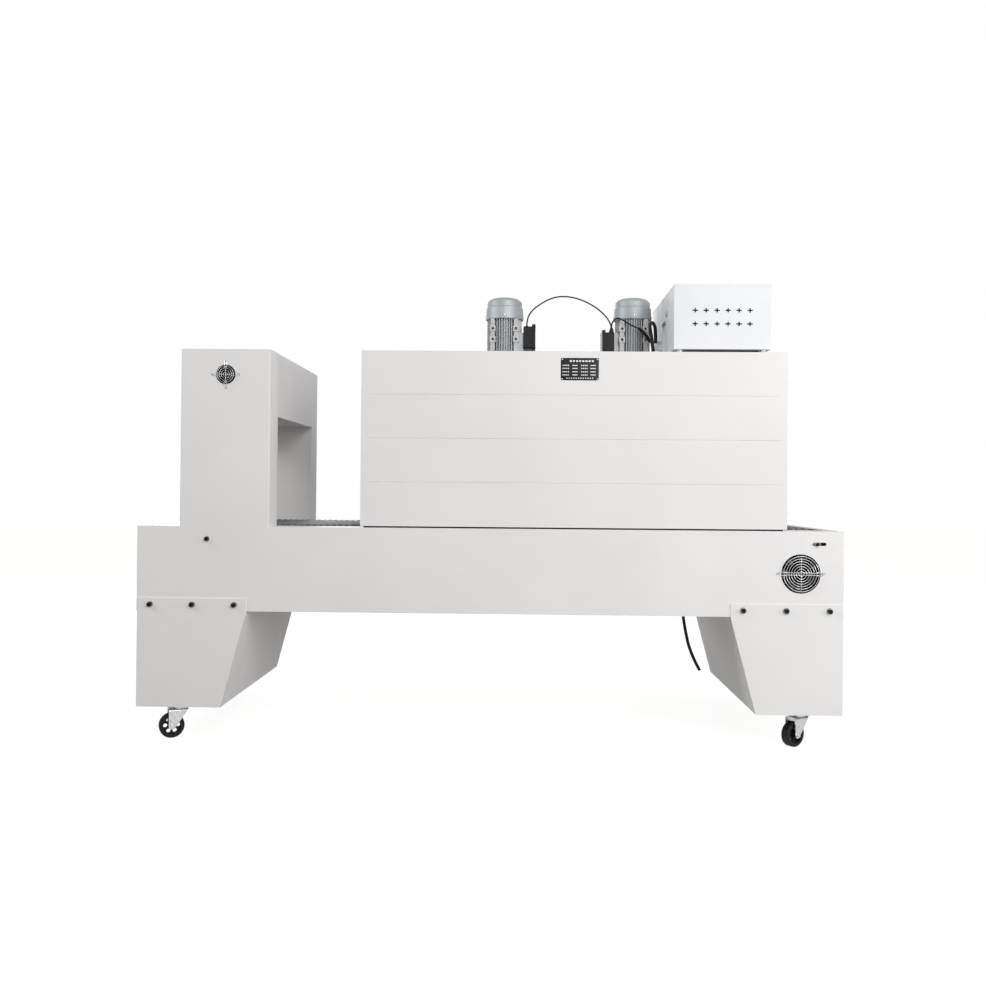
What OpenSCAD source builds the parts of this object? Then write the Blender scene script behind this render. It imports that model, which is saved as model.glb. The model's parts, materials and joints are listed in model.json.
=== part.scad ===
// Heat shrink tunnel: a roller conveyor bed on casters, a cooling tower and a heating chamber.
// X runs along the conveyor, -Y is the front and Z is up. The origin is on the floor under the bed's middle.

/* [Bed] */
// Length of the bed
bed_l = 2650; // [2500:10:3200]
// Width of the bed over its side panels
bed_w = 900; // [860:10:1100]
// Height of the bed's top above the floor
bed_top = 810; // [780:5:900]
// Height of the bed's side panels
bed_h = 320; // [300:5:360]
// Thickness of the folded sheets
sheet = 2; // [1.5:0.5:3]
// Outer radius of the tower's folded corners
bend_r = 6; // [4:0.5:12]

/* [Conveyor] */
// Clear width between the conveyor's inner webs
conveyor_w = 644; // [600:2:680]
// Height of the inner webs
web_h = 200; // [180:5:240]
// Pitch of the chain, and so of its rollers
chain_pitch = 25.4; // [24:0.1:28]
// Diameter of a conveyor roller
roller_d = 16; // [12:0.5:18]
// Height of the rollers' crown above the bed's top
roller_rise = 6; // [2:0.5:8]
// Number of teeth on a sprocket
sprocket_teeth = 11; // [10:1:14]
// Height of the chain's link plates
link_h = 14; // [10:0.5:16]
// Thickness of a chain's link band
link_t = 6; // [4:0.5:8]
// Clear distance between a chain and its web
chain_clear = 10; // [6:1:14]
// Height of the rails that carry the chains
rail_h = 12; // [8:1:20]
// Distance of the sprockets from the rollers' ends
sprocket_in = 30; // [20:1:60]
// Thickness of a sprocket
sprocket_t = 10; // [6:1:16]
// Height of the sprockets' teeth above the chain's pitch line
tooth_rise = 3; // [1:0.5:4]
// Diameter of the drive and tail shafts
shaft_d = 30; // [20:1:36]
// Distance of the drive shaft from the bed's left end
drive_inset = 265; // [220:5:320]
// Least distance of the tail shaft from the bed's right end
tail_inset = 95; // [80:1:140]
// Length of the tail shaft's adjusting slots
slot_l = 52; // [36:1:70]
// Width of the adjusting slots
slot_w = 12; // [8:1:16]
// Distance of a slot's middle beyond the tail shaft
slot_shift = 9; // [0:1:10]
// Gap between the rollers' path and the slide plates
slide_gap = 4; // [3:0.5:8]
// Depth of the slide plates' folded lips
slide_lip = 20; // [10:1:30]

/* [Legs] */
// Width of a leg at its top
leg_top_w = 415; // [380:1:480]
// Width of a leg at its foot
leg_foot_w = 320; // [290:1:370]
// Distance of a leg's outer edge inside the bed's end
leg_inset = 3; // [0:1:20]
// Height that a leg's plates lap up the bed's sides
leg_lap = 48; // [30:1:80]
// Thickness of a leg's plates
leg_sheet = 3; // [2:0.5:5]

/* [Casters] */
// Height of a caster from the floor to its plate's top
caster_h = 128; // [126:1:150]
// Distance of a caster's swivel axis from the bed's end
caster_inset_x = 147; // [120:1:180]
// Distance of a caster's swivel axis from the bed's side
caster_inset_y = 70; // [60:1:120]
// Side of a caster's square plate
caster_plate_w = 84; // [70:1:100]
// Thickness of a caster's plate
caster_plate_t = 4; // [3:0.5:6]
// Diameter of a caster wheel
wheel_d = 94; // [80:1:100]
// Width of a wheel's tread
wheel_w = 32; // [24:1:34]
// Distance of the wheel's axle behind the swivel axis
caster_trail = 30; // [20:1:32]
// Clear width between the two arms of a fork
fork_gap = 43; // [41:0.5:50]
// Thickness of a fork's sheet
fork_t = 4; // [3:0.5:6]
// Outer radius of a fork's bent shoulders
fork_bend_r = 8; // [7:0.5:12]
// Radius of a fork's lower ends, around the axle
fork_eye_r = 13; // [10:0.5:18]
// Diameter of the wheel's axle
axle_d = 10; // [8:0.5:12]
// Diameter of the swivel's kingpin
kingpin_d = 12; // [10:0.5:16]
// Diameter of the swivel's ball race
race_d = 54; // [46:1:60]
// Height of each half of the ball race
race_h = 6; // [4:0.5:8]
// Diameter of the round holes in a wheel's web
wheel_hole_d = 16; // [8:0.5:18]
// Number of those holes
wheel_holes = 6; // [4:1:8]

/* [Cooling tower] */
// Distance of the tower from the bed's left end
tower_inset = 160; // [120:5:260]
// Length of the tower along the conveyor
tower_l = 340; // [280:5:400]
// Height of the tower above the bed
tower_h = 670; // [600:5:760]
// Height of the tower's opening above the bed
tower_open_h = 423; // [360:1:460]
// Height of the fan's axis below the tower's top
tower_fan_drop = 96; // [70:1:120]
// Outer side of the tower's fan
tower_fan_w = 80; // [70:1:92]
// Depth of the tower's fan
tower_fan_depth = 25; // [15:1:38]
// Distance of the fan guard's eyes from the fan's axis
tower_eye_r = 50.6; // [48:0.1:60]

/* [Heating tunnel] */
// Distance of the tunnel from the bed's right end
tunnel_inset = 209; // [180:1:260]
// Length of the tunnel
tunnel_l = 1597; // [1400:1:1640]
// Height of the tunnel's roof above the bed
tunnel_h = 668; // [600:1:760]
// Distance of the tunnel's sides inside the bed's sides
tunnel_step = 4; // [2:1:20]
// Height of the recessed plinth under the tunnel
plinth_h = 6; // [4:1:20]
// Distance of the plinth inside the tunnel's sides
plinth_inset = 12; // [8:1:30]
// Width of the passage through the heating chamber
chamber_w = 630; // [560:2:640]
// Height of that passage above the bed
chamber_h = 440; // [380:5:480]
// Number of strips that the creases divide a side into
crease_strips = 4; // [2:1:6]
// Depth of a crease in a side
crease_depth = 1.6; // [0.5:0.1:1.8]
// Distance of the creases' ends from the side's ends
crease_margin = 25; // [10:1:60]
// Width of the side's folded flanges
flange_w = 20; // [12:1:30]
// Distance between neighbouring air slots along the chamber
air_pitch = 100; // [60:5:160]
// Length of an air slot
air_slot_l = 120; // [80:5:140]
// Width of an air slot
air_slot_w = 12; // [6:1:20]
// Distance of the slotted sheets' edges from the chamber's ends and corners
air_margin = 40; // [20:1:60]

/* [Bed fan] */
// Distance of the fan's axis from the bed's right end
bed_fan_inset = 158; // [120:1:190]
// Height of the fan's axis above the bed's underside
bed_fan_z = 162; // [130:1:180]
// Width of the fan's housing
bed_fan_w = 172; // [150:1:180]
// Depth of the fan's housing
bed_fan_depth = 51; // [38:1:60]
// Distance of the fan guard's eyes from the fan's axis
bed_eye_r = 81; // [80:0.5:92]

/* [Fan motors] */
// Distance between the two motors' axes
motor_pitch = 534; // [480:2:640]
// Diameter of a motor over its fins
motor_d = 144; // [130:2:156]
// Height of a motor without its cowl
motor_h = 199; // [170:1:220]
// Diameter of a motor's mounting flange
motor_flange_d = 190; // [170:2:220]
// Thickness of a motor's flange
motor_flange_h = 12; // [8:1:16]
// Distance between neighbouring cooling fins
fin_pitch = 10; // [9:0.5:14]
// Thickness of a fin
fin_t = 3; // [2:0.5:4]
// Height of the fins above the motor's barrel
fin_h = 13; // [8:1:16]
// Distance of the smooth columns from the motor's middle
column_x = 48; // [46:1:52]
// Width of a column
column_w = 18; // [14:1:20]
// Heights of a column's pads above the roof
pad_z = [103, 148]; // [60:1:160]
// Side of a pad
pad_w = 24; // [14:1:30]
// Height of a pad above its column
pad_rise = 3; // [1:0.5:6]
// Diameter of a pad's hole
pad_hole_d = 11; // [6:0.5:12]
// Diameter of a motor's cowl
cowl_d = 158; // [150:1:170]
// Height of a cowl
cowl_h = 89; // [80:1:120]
// Thickness of a cowl's sheet
cowl_t = 1.5; // [1:0.5:2]
// Radius of the arc of a cowl's shoulder
cowl_round = 40; // [34:1:48]
// Width of that shoulder
cowl_shoulder = 33; // [20:1:33]
// Distance of a cowl's sloping step below its top
cowl_step_z = 38; // [30:1:50]
// Width of that step
cowl_step = 4; // [2:0.5:5]
// Distance by which a cowl's skirt widens from the step to its foot
cowl_flare = 2.5; // [0:0.5:4]
// Distance between a cowl's rings of air holes
cowl_ring = 11; // [10:0.5:14]
// Diameter of an air hole
cowl_hole_d = 8; // [4:0.5:8]
// Length of a terminal box along the motor
term_l = 105; // [80:1:110]
// Width of a terminal box
term_w = 100; // [80:2:110]
// Depth of a terminal box with its lid
term_d = 50; // [44:1:60]
// Depth of a terminal box under its lid
term_base = 36; // [20:1:42]
// Distance by which the lid stands over the box
lid_lap = 3; // [1:0.5:5]
// Radius of a terminal box's corners
term_r = 8; // [3:0.5:12]
// Heights of the two terminal boxes' lids above the roof
term_top = [169, 146]; // [140:1:178]
// Distance by which a box's head stays below its lid's
term_drop = 9; // [4:1:14]

/* [Cabinet] */
// Length of the cabinet along the tunnel
cabinet_l = 362; // [300:2:420]
// Depth of the cabinet from front to back
cabinet_w = 620; // [500:5:700]
// Height of the cabinet's body
cabinet_h = 245; // [200:5:300]
// Height of the cabinet's feet
cabinet_foot_h = 15; // [10:1:25]
// Diameter of a cabinet foot
cabinet_foot_d = 20; // [16:1:30]
// Distance of the feet's middles from the cabinet's sides
cabinet_foot_in = 24; // [18:1:40]
// Distance of the cabinet's base from its feet
cabinet_base_gap = 6; // [2:1:20]
// Distance of the cabinet from the tunnel's right end
cabinet_inset = 59; // [30:1:100]
// Distance of the cabinet's front from the bed's front
cabinet_setback = 20; // [10:1:60]
// Height of the cabinet's lid
lid_h = 8; // [6:1:20]
// Width of the seam under the lid
lid_seam = 1.5; // [0.5:0.5:3]
// Height of the lower row of vents above the cabinet's underside
vent_low = 95; // [60:1:110]
// Length of a vent's level arm
vent_l = 20; // [12:1:26]
// Length of a vent's upright arm
vent_h = 17; // [12:1:26]
// Width of a vent's arms
vent_arm = 5; // [3:0.5:8]
// Number of vents in a row on the cabinet's front
vent_cols = 6; // [3:1:7]
// Distance between neighbouring vents in a row
vent_pitch = 41; // [30:1:46]
// Distance between the two rows of vents
vent_rise = 51; // [36:1:60]

/* [Leads] */
// Diameter of the two motor leads
lead_d = 6; // [5:0.5:10]
// Diameter of the flexible conduit
conduit_d = 14; // [12:0.5:16]
// Diameter of the power lead
power_d = 13; // [10:0.5:16]
// Heights of the glands on the two terminal boxes
lead_gland_h = [8, 20]; // [6:1:24]
// Height of the other glands
gland_h = 20; // [12:1:26]
// Distance of the conduit's elbow from the cabinet's side
elbow_reach = 27; // [22:1:40]
// Distance of the conduit's roof gland from the tunnel's right end
conduit_inset = 474; // [440:1:500]
// Distance of the power lead's gland from the bed's right end
power_inset = 524; // [440:1:700]

/* [Hidden] */
$fn = 96;

white_coat = "gainsboro";
bare_steel = "silver";
cast_grey = "darkgray";
black_plastic = "dimgray";

// Running gap between a curved face and what it turns in or rests on
run_gap = 0.3;
// Amount by which a cutting shape passes through a face
cut = 1;

bed_end = bed_l / 2;
bed_side = bed_w / 2;
bed_bot = bed_top - bed_h;
bed_in = bed_side - sheet;
deck_z = bed_top - sheet;
web_in = conveyor_w / 2;
web_out = web_in + sheet;

sprocket_r = chain_pitch / (2 * sin(180 / sprocket_teeth));
drive_x = -bed_end + drive_inset;
run_pitches = floor((bed_l - drive_inset - tail_inset) / chain_pitch);
tail_x = drive_x + run_pitches * chain_pitch;
chain_z = bed_top + roller_rise - roller_d / 2;
shaft_z = chain_z - sprocket_r;
chain_out = web_in - chain_clear;
chain_in = chain_out - link_t;
roller_half = chain_in - run_gap;
sprocket_y = roller_half - sprocket_in;
turn_reach = sprocket_r + roller_d / 2 + slide_gap;

tower_x0 = -bed_end + tower_inset;
tower_x1 = tower_x0 + tower_l;
tower_top = bed_top + tower_h;
tower_open_top = bed_top + tower_open_h;
tower_fan_x = (tower_x0 + tower_x1) / 2;
tower_fan_z = tower_top - tower_fan_drop;
tower_fan_bore = tower_fan_w - 4;

tunnel_x1 = bed_end - tunnel_inset;
tunnel_x0 = tunnel_x1 - tunnel_l;
tunnel_mid = (tunnel_x0 + tunnel_x1) / 2;
tunnel_side = bed_side - tunnel_step;
tunnel_in = tunnel_side - sheet;
tunnel_bot = bed_top + plinth_h;
tunnel_top = bed_top + tunnel_h;
roof_top = tunnel_top - sheet;
chamber_top = bed_top + chamber_h;

bed_fan_x = bed_end - bed_fan_inset;
bed_fan_axis_z = bed_bot + bed_fan_z;
bed_fan_bore = bed_fan_w - 24;

motor_x = [tunnel_mid - motor_pitch / 2, tunnel_mid + motor_pitch / 2];
core_r = motor_d / 2 - fin_h;
cowl_lap = 8;
cowl_skirt_h = cowl_h - cowl_step_z - cowl_step;
cowl_fit_d = cowl_d - 2 * (cowl_t + run_gap + cowl_flare * cowl_lap / cowl_skirt_h);
cowl_neck_r = cowl_d / 2 - cowl_flare - cowl_step;
cowl_head_r = cowl_neck_r - cowl_shoulder;
boss_x = cowl_d / 2;
boss_in = 12;
// Places of the terminal boxes' glands: distance from the box's seat, and Y
left_glands = [[14.5, 0]];
right_glands = [[9.5, 0], [9.5, -26]];

cabinet_x1 = tunnel_x1 - cabinet_inset;
cabinet_x0 = cabinet_x1 - cabinet_l;
cabinet_y0 = -bed_side + cabinet_setback;
cabinet_y1 = cabinet_y0 + cabinet_w;
cabinet_z0 = roof_top + cabinet_foot_h;
cabinet_z1 = cabinet_z0 + cabinet_h;
cabinet_mid = (cabinet_x0 + cabinet_x1) / 2;
lid_z = cabinet_z1 - lid_h;
// Places of the lead's gland and the elbow's mouth at the cabinet's left side: Y and height over its floor
lead_entry = [-60, 76];
elbow_mouth = [-107, 65];
conduit_y = -235;
// Places of the heat controllers across the operator's panel from its middle, and their width
meter_places = [-110, -40];
meter_w = 48;
// Round controls: place across the panel from its middle, diameter of the bezel and of the cap, and reach
speed_knob = [90, 44, 34, 22];
stop_button = [108, 46, 38, 26];
push_button = [-118, 30, 22, 12];
buttons = 4;
button_pitch = 52;

leg_foot_z = caster_h;
leg_slope = (leg_top_w - leg_foot_w) / (bed_bot - leg_foot_z);
wheel_r = wheel_d / 2;
swivel_z = caster_h - caster_plate_t - race_h;
crown_top = swivel_z - run_gap - race_h;
crown_z = crown_top - fork_t;
fork_front = race_d / 2 + 2;
head_d = kingpin_d + 8;
head_h = 5;
hub_r = axle_d / 2 + 9;
rim_r = wheel_r - 14;

// Where each caster stands, and how far its fork is turned
CASTERS = [
    ["front_left", [-1, -1], 25],
    ["front_right", [1, -1], 34],
    ["back_left", [-1, 1], 0],
    ["back_right", [1, 1], 180]
];

// Routes of the leads, as points in millimetres
link_route = [
    [144, 0, 1644], [144, 0, 1654], [146, 0, 1668], [150, 0, 1683], [159, 0, 1699], [176, 0, 1718],
    [202, 0, 1737], [232, 0, 1754], [265, 0, 1765], [300, 0, 1768], [336, 0, 1764], [370, 0, 1754],
    [402, 0, 1740], [432, 0, 1722], [457, 0, 1702], [477, 0, 1681], [489, 0, 1662], [495, 0, 1647],
    [496, 0, 1640], [496, 0, 1633]
];
cabinet_route = [
    [496, -26, 1633], [496, -26, 1641], [498, -30, 1653], [504, -39, 1663], [512, -51, 1668],
    [521, -64, 1667], [531, -76, 1661], [540, -85, 1654], [550, -92, 1646], [561, -97, 1639],
    [573, -99, 1632], [586, -99, 1626], [599, -98, 1620], [612, -96, 1612], [623, -91, 1603],
    [632, -85, 1594], [640, -77, 1584], [648, -68, 1575], [657, -62, 1569], [666, -60, 1567],
    [675, -60, 1567]
];
conduit_route = [
    [642, -235, 1496], [642, -235, 1508], [640, -235, 1525], [637, -235, 1547], [634, -235, 1570],
    [631, -230, 1593], [631, -216, 1613], [636, -195, 1626], [647, -171, 1631], [657, -147, 1626],
    [664, -126, 1613], [667, -112, 1593], [668, -107, 1570], [668, -107, 1556]
];
power_route = [
    [801, 0, 470], [801, 0, 455], [804, 0, 434], [808, 0, 407], [813, 0, 378], [819, 0, 350],
    [825, 0, 323], [834, 0, 296], [844, 0, 271], [857, 0, 243], [873, 0, 213]
];

// Shapes that several pieces share

// A box between two corners, given as its ranges along X, Y and Z
module block(x, y, z) {
    translate([x[0], y[0], z[0]]) cube([x[1] - x[0], y[1] - y[0], z[1] - z[0]]);
}

// A plate drawn in X and Z, from y to y + t
module upright(y, t) {
    translate([0, y + t, 0]) rotate([90, 0, 0]) linear_extrude(t) children();
}

// A plate drawn in Y and Z, from x to x + t
module crosswise(x, t) {
    translate([x, 0, 0]) rotate([90, 0, 90]) linear_extrude(t) children();
}

// A rectangle between two corners, given as its ranges
module area(u, v) {
    translate([u[0], v[0]]) square([u[1] - u[0], v[1] - v[0]]);
}

// The same rectangle with round corners
module round_area(u, v, r) {
    area([u[0] + r, u[1] - r], v);
    area(u, [v[0] + r, v[1] - r]);
    for (x = [u[0] + r, u[1] - r]) for (y = [v[0] + r, v[1] - r]) translate([x, y]) circle(r = r);
}

// A slot with round ends, centred at the origin
module slot_outline(l, w) {
    square([l - w, w], center = true);
    for (side = [-1, 1]) translate([side * (l - w) / 2, 0]) circle(d = w);
}

// A wall with an opening that stands on its lower edge
module portal_outline(half_w, low, high, open_w, open_top) {
    difference() {
        area([-half_w, half_w], [low, high]);
        area([-open_w / 2, open_w / 2], [low - cut, open_top]);
    }
}

// A cable gland along +Z for a cable of diameter d: a hexagon nut under a round cap
module gland(d, h) {
    cylinder(d = d + 12, h = 0.6 * h, $fn = 6);
    cylinder(d = d + 7, h = h);
}

function unit(v) = v / norm(v);
function heading(p, i) = unit(p[min(i + 1, len(p) - 1)] - p[max(i - 1, 0)]);
function squared_to(n, t) = unit(n - (n * t) * t);
function side_vectors(p, n, i = 0) =
    i == len(p) ? [] : let (s = squared_to(n, heading(p, i))) concat([s], side_vectors(p, s, i + 1));

// A round tube that follows a route, starting from a side vector that is square to its first stretch
module tube(route, d, first_side, sides = 10) {
    across = side_vectors(route, first_side);
    rings = [
        for (i = [0:len(route) - 1]) let (t = heading(route, i), s = across[i], u = cross(t, s))
        for (k = [0:sides - 1]) route[i] + d / 2 * (cos(360 * k / sides) * s + sin(360 * k / sides) * u)
    ];
    last = (len(route) - 1) * sides;
    walls = [
        for (i = [0:len(route) - 2]) for (k = [0:sides - 1])
        let (a = i * sides + k, b = i * sides + (k + 1) % sides)
        for (half = [0, 1]) half == 0 ? [a, a + sides, b] : [b, a + sides, b + sides]
    ];
    caps = [[for (k = [0:sides - 1]) k], [for (k = [sides - 1:-1:0]) last + k]];
    polyhedron(points = rings, faces = concat(walls, caps));
}

// Bed

module side_outline() {
    area([-bed_end, bed_end], [bed_bot, bed_top]);
    area([tower_x0 + bend_r, tower_x1 - bend_r], [bed_top, tower_top]);
}

module adjusting_slot() {
    translate([tail_x + slot_shift, shaft_z]) slot_outline(slot_l, slot_w);
}

module front_side_panel() {
    color(white_coat) upright(-bed_side, sheet) difference() {
        side_outline();
        adjusting_slot();
        translate([tower_fan_x, tower_fan_z]) circle(d = tower_fan_bore - sheet);
        translate([bed_fan_x, bed_fan_axis_z]) circle(d = bed_fan_bore - sheet);
    }
}

module back_side_panel() {
    color(white_coat) upright(bed_in, sheet) difference() {
        side_outline();
        adjusting_slot();
    }
}

// The deck strip and inner web on the +Y side, with the rails that carry one chain's two runs
module conveyor_beam() {
    rail_y = [chain_in, web_in];
    run_x = [drive_x, tail_x];
    color(white_coat) difference() {
        union() {
            block([-bed_end + sheet, bed_end - sheet], [web_in, bed_in], [deck_z, bed_top]);
            block([-bed_end + sheet, bed_end - sheet], [web_in, web_out], [deck_z - web_h, deck_z]);
            for (run_z = [chain_z, shaft_z - sprocket_r])
                let (top = run_z - link_h / 2 - run_gap) block(run_x, rail_y, [top - rail_h, top]);
        }
        for (x = run_x) translate([x, 0, shaft_z]) rotate([-90, 0, 0])
            cylinder(d = shaft_d + 2 * run_gap, h = bed_side);
    }
}

module front_conveyor_beam() {
    mirror([0, 1, 0]) conveyor_beam();
}

module back_conveyor_beam() {
    conveyor_beam();
}

module bed_floor_tray() {
    color(white_coat)
        block([-bed_end + sheet, bed_end - sheet], [-bed_in, bed_in], [bed_bot, bed_bot + sheet]);
}

module end_plate(x) {
    color(white_coat) block([x, x + sheet], [-bed_in, bed_in], [bed_bot, bed_top]);
}

module left_end_plate() {
    end_plate(-bed_end);
}

module right_end_plate() {
    end_plate(bed_end - sheet);
}

// A plate that closes the bed's top between an end and the rollers, with a lip folded down beside them
module slide_plate(outer, inner) {
    lip = outer < inner ? [inner - sheet, inner] : [inner, inner + sheet];
    color(bare_steel) {
        block([min(outer, inner), max(outer, inner)], [-web_in, web_in], [deck_z, bed_top]);
        block(lip, [-web_in, web_in], [deck_z - slide_lip, deck_z]);
    }
}

module exit_slide_plate() {
    slide_plate(-bed_end + sheet, drive_x - turn_reach);
}

module infeed_slide_plate() {
    slide_plate(bed_end - sheet, tail_x + turn_reach);
}

// Conveyor chain

// Place of roller number i around the loop, counted from the drive shaft's crown along the top run
function loop_point(i) =
    let (half = sprocket_teeth / 2, turn = 360 / sprocket_teeth, n = run_pitches)
    i <= n ? [drive_x + i * chain_pitch, shaft_z + sprocket_r]
    : i < n + half ? let (a = 90 - (i - n) * turn) [tail_x, shaft_z] + sprocket_r * [cos(a), sin(a)]
    : i <= 2 * n + half ? [tail_x - (i - n - half) * chain_pitch, shaft_z - sprocket_r]
    : let (a = -90 - (i - 2 * n - half) * turn) [drive_x, shaft_z] + sprocket_r * [cos(a), sin(a)];

module loop_outline(r) {
    area([drive_x, tail_x], [shaft_z - r, shaft_z + r]);
    for (x = [drive_x, tail_x]) translate([x, shaft_z]) circle(r = r);
}

// The chain's link plates, seen from the side: a waisted band, full height at each roller's pin
module link_outline(pins) {
    waist = link_h / 4;
    difference() {
        loop_outline(sprocket_r + waist);
        loop_outline(sprocket_r - waist);
    }
    for (p = pins) translate(p) circle(d = link_h);
}

module roller_chain_loop() {
    pins = [for (i = [0:2 * run_pitches + sprocket_teeth - 1]) loop_point(i)];
    color(bare_steel) {
        for (p = pins) translate([p[0], roller_half, p[1]]) rotate([90, 0, 0])
            cylinder(d = roller_d, h = 2 * roller_half);
        for (y = [chain_in, -chain_out]) upright(y, link_t) link_outline(pins);
    }
}

// A shaft across the bed with two sprockets, one tooth space of each straight up
module conveyor_shaft(x) {
    space_d = roller_d + 4;
    color(bare_steel) translate([x, 0, shaft_z]) {
        translate([0, bed_in, 0]) rotate([90, 0, 0]) cylinder(d = shaft_d, h = 2 * bed_in);
        for (side = [-1, 1]) upright(side * sprocket_y - sprocket_t / 2, sprocket_t) difference() {
            circle(r = sprocket_r + tooth_rise);
            for (k = [0:sprocket_teeth - 1]) rotate(90 + 360 * k / sprocket_teeth)
                translate([sprocket_r, 0]) circle(d = space_d);
        }
    }
}

module drive_shaft() {
    conveyor_shaft(drive_x);
}

module tail_shaft() {
    conveyor_shaft(tail_x);
}

// Legs and casters

// The left leg: a tapered box, open at its top, whose front and back plates lap the bed's sides
module leg() {
    half_w = bed_side + leg_sheet;
    wall_x = leg_sheet * sqrt(1 + leg_slope * leg_slope);
    inner_low = leg_foot_w + leg_slope * leg_sheet - wall_x;
    inner_high = leg_top_w + leg_slope * cut - wall_x;
    color(white_coat) translate([-bed_end + leg_inset, 0, 0]) {
        difference() {
            upright(-half_w, 2 * half_w) polygon([
                [0, leg_foot_z], [leg_foot_w, leg_foot_z], [leg_top_w, bed_bot], [0, bed_bot]
            ]);
            upright(-bed_side, bed_w) polygon([
                [leg_sheet, leg_foot_z + leg_sheet], [inner_low, leg_foot_z + leg_sheet],
                [inner_high, bed_bot + cut], [leg_sheet, bed_bot + cut]
            ]);
        }
        for (y = [-half_w, bed_side])
            block([0, leg_top_w], [y, y + leg_sheet], [bed_bot, bed_bot + leg_lap]);
    }
}

module left_leg() {
    leg();
}

module right_leg() {
    mirror([1, 0, 0]) leg();
}

module at_caster(i) {
    side = CASTERS[i][1];
    translate([side[0] * (bed_end - caster_inset_x), side[1] * (bed_side - caster_inset_y), 0]) children();
}

module caster_plates() {
    half = caster_plate_w / 2;
    head_z = crown_z - run_gap - head_h;
    color(bare_steel) for (i = [0:len(CASTERS) - 1]) at_caster(i) {
        block([-half, half], [-half, half], [caster_h - caster_plate_t, caster_h]);
        translate([0, 0, swivel_z]) cylinder(d = race_d, h = race_h);
        translate([0, 0, head_z]) cylinder(d = kingpin_d, h = swivel_z - head_z);
        translate([0, 0, head_z]) cylinder(d = head_d, h = head_h);
    }
}

// Point where a line from p touches the circle of radius r around c, on the right as seen from c
function touch_point(c, r, p) =
    let (v = p - c, a = atan2(v[1], v[0]) - acos(r / norm(v))) c + r * [cos(a), sin(a)];

// A fork from the side, in X and Z from the swivel axis: it narrows from its crown to the axle
module fork_side_outline() {
    eye = [-caster_trail, wheel_r];
    crown_front = [fork_front, crown_z];
    translate(eye) circle(r = fork_eye_r);
    polygon([
        eye - [fork_eye_r, 0], touch_point(eye, fork_eye_r, crown_front), crown_front,
        [fork_front, crown_top], [eye[0] - fork_eye_r, crown_top]
    ]);
}

// An arch from the floor to a top with rounded shoulders, seen along X
module arch_outline(half, top, r) {
    area([-half, half], [0, top - r]);
    area([-half + r, half - r], [0, top]);
    for (side = [-1, 1]) translate([side * (half - r), top - r]) circle(r = r);
}

// A fork is one sheet bent over the wheel, with the lower half of the ball race, the axle and its nuts
module caster_fork(i) {
    arm_out = fork_gap / 2 + fork_t;
    back_x = -caster_trail - fork_eye_r;
    nut_h = 6;
    color(bare_steel) at_caster(i) rotate(CASTERS[i][2]) {
        difference() {
            union() {
                intersection() {
                    upright(-arm_out, 2 * arm_out) fork_side_outline();
                    crosswise(back_x, fork_front - back_x) difference() {
                        arch_outline(arm_out, crown_top, fork_bend_r);
                        arch_outline(fork_gap / 2, crown_z, fork_bend_r - fork_t);
                    }
                }
                translate([0, 0, crown_top]) cylinder(d = race_d - fork_t, h = race_h);
            }
            translate([0, 0, crown_z - cut]) cylinder(d = kingpin_d + 2 * run_gap, h = caster_h);
        }
        translate([-caster_trail, arm_out, wheel_r]) rotate([90, 0, 0])
            cylinder(d = axle_d, h = 2 * arm_out);
        for (y = [arm_out, -arm_out - nut_h]) translate([-caster_trail, y + nut_h, wheel_r])
            rotate([90, 0, 0]) cylinder(d = axle_d + 7, h = nut_h, $fn = 6);
    }
}

// A wheel's section from its axis outwards: hub, web and rounded tread
module wheel_section() {
    tread_r = 5;
    web_half = 6;
    hub_half = fork_gap / 2 - run_gap;
    area([axle_d / 2 + run_gap, hub_r], [-hub_half, hub_half]);
    area([hub_r, rim_r], [-web_half, web_half]);
    area([rim_r, wheel_r - tread_r], [-wheel_w / 2, wheel_w / 2]);
    area([wheel_r - tread_r, wheel_r], [-wheel_w / 2 + tread_r, wheel_w / 2 - tread_r]);
    for (side = [-1, 1]) translate([wheel_r - tread_r, side * (wheel_w / 2 - tread_r)]) circle(r = tread_r);
}

module caster_wheel(i) {
    hole_r = (hub_r + rim_r) / 2;
    color(black_plastic) at_caster(i) rotate(CASTERS[i][2]) translate([-caster_trail, 0, wheel_r])
        rotate([90, 0, 0]) difference() {
            rotate_extrude() wheel_section();
            for (k = [0:wheel_holes - 1]) rotate(360 * k / wheel_holes) translate([hole_r, 0, -wheel_w])
                cylinder(d = wheel_hole_d, h = 2 * wheel_w);
        }
}

// Cooling tower

// A sheet bent through a quarter turn, in the first quadrant
module quarter_bend() {
    intersection() {
        difference() {
            circle(r = bend_r);
            circle(r = bend_r - sheet);
        }
        square(bend_r);
    }
}

// A wall across the bed whose outer face is at x, folded round to the bed's sides; out is -1 or 1
module tower_wall(x, out) {
    corner_y = bed_side - bend_r;
    color(white_coat) difference() {
        translate([x, 0, bed_top]) mirror([out < 0 ? 1 : 0, 0, 0]) linear_extrude(tower_h) {
            area([-sheet, 0], [-corner_y, corner_y]);
            for (side = [0, 1]) mirror([0, side]) translate([-bend_r, corner_y]) quarter_bend();
        }
        block([x - bend_r, x + bend_r], [-web_out, web_out], [bed_top - cut, tower_open_top]);
    }
}

module tower_left_wall() {
    tower_wall(tower_x0, -1);
}

module tower_right_wall() {
    tower_wall(tower_x1, 1);
}

module tower_roof() {
    color(white_coat) translate([0, 0, tower_top - sheet]) linear_extrude(sheet)
        round_area([tower_x0 + sheet, tower_x1 - sheet], [-bed_in, bed_in], bend_r);
}

// The tower's two jambs and the ceiling over its passage
module tower_liner() {
    color(white_coat) crosswise(tower_x0 + sheet, tower_l - 2 * sheet)
        portal_outline(web_out + sheet, bed_top, tower_open_top + sheet, 2 * web_out, tower_open_top);
}

// Fans

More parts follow.
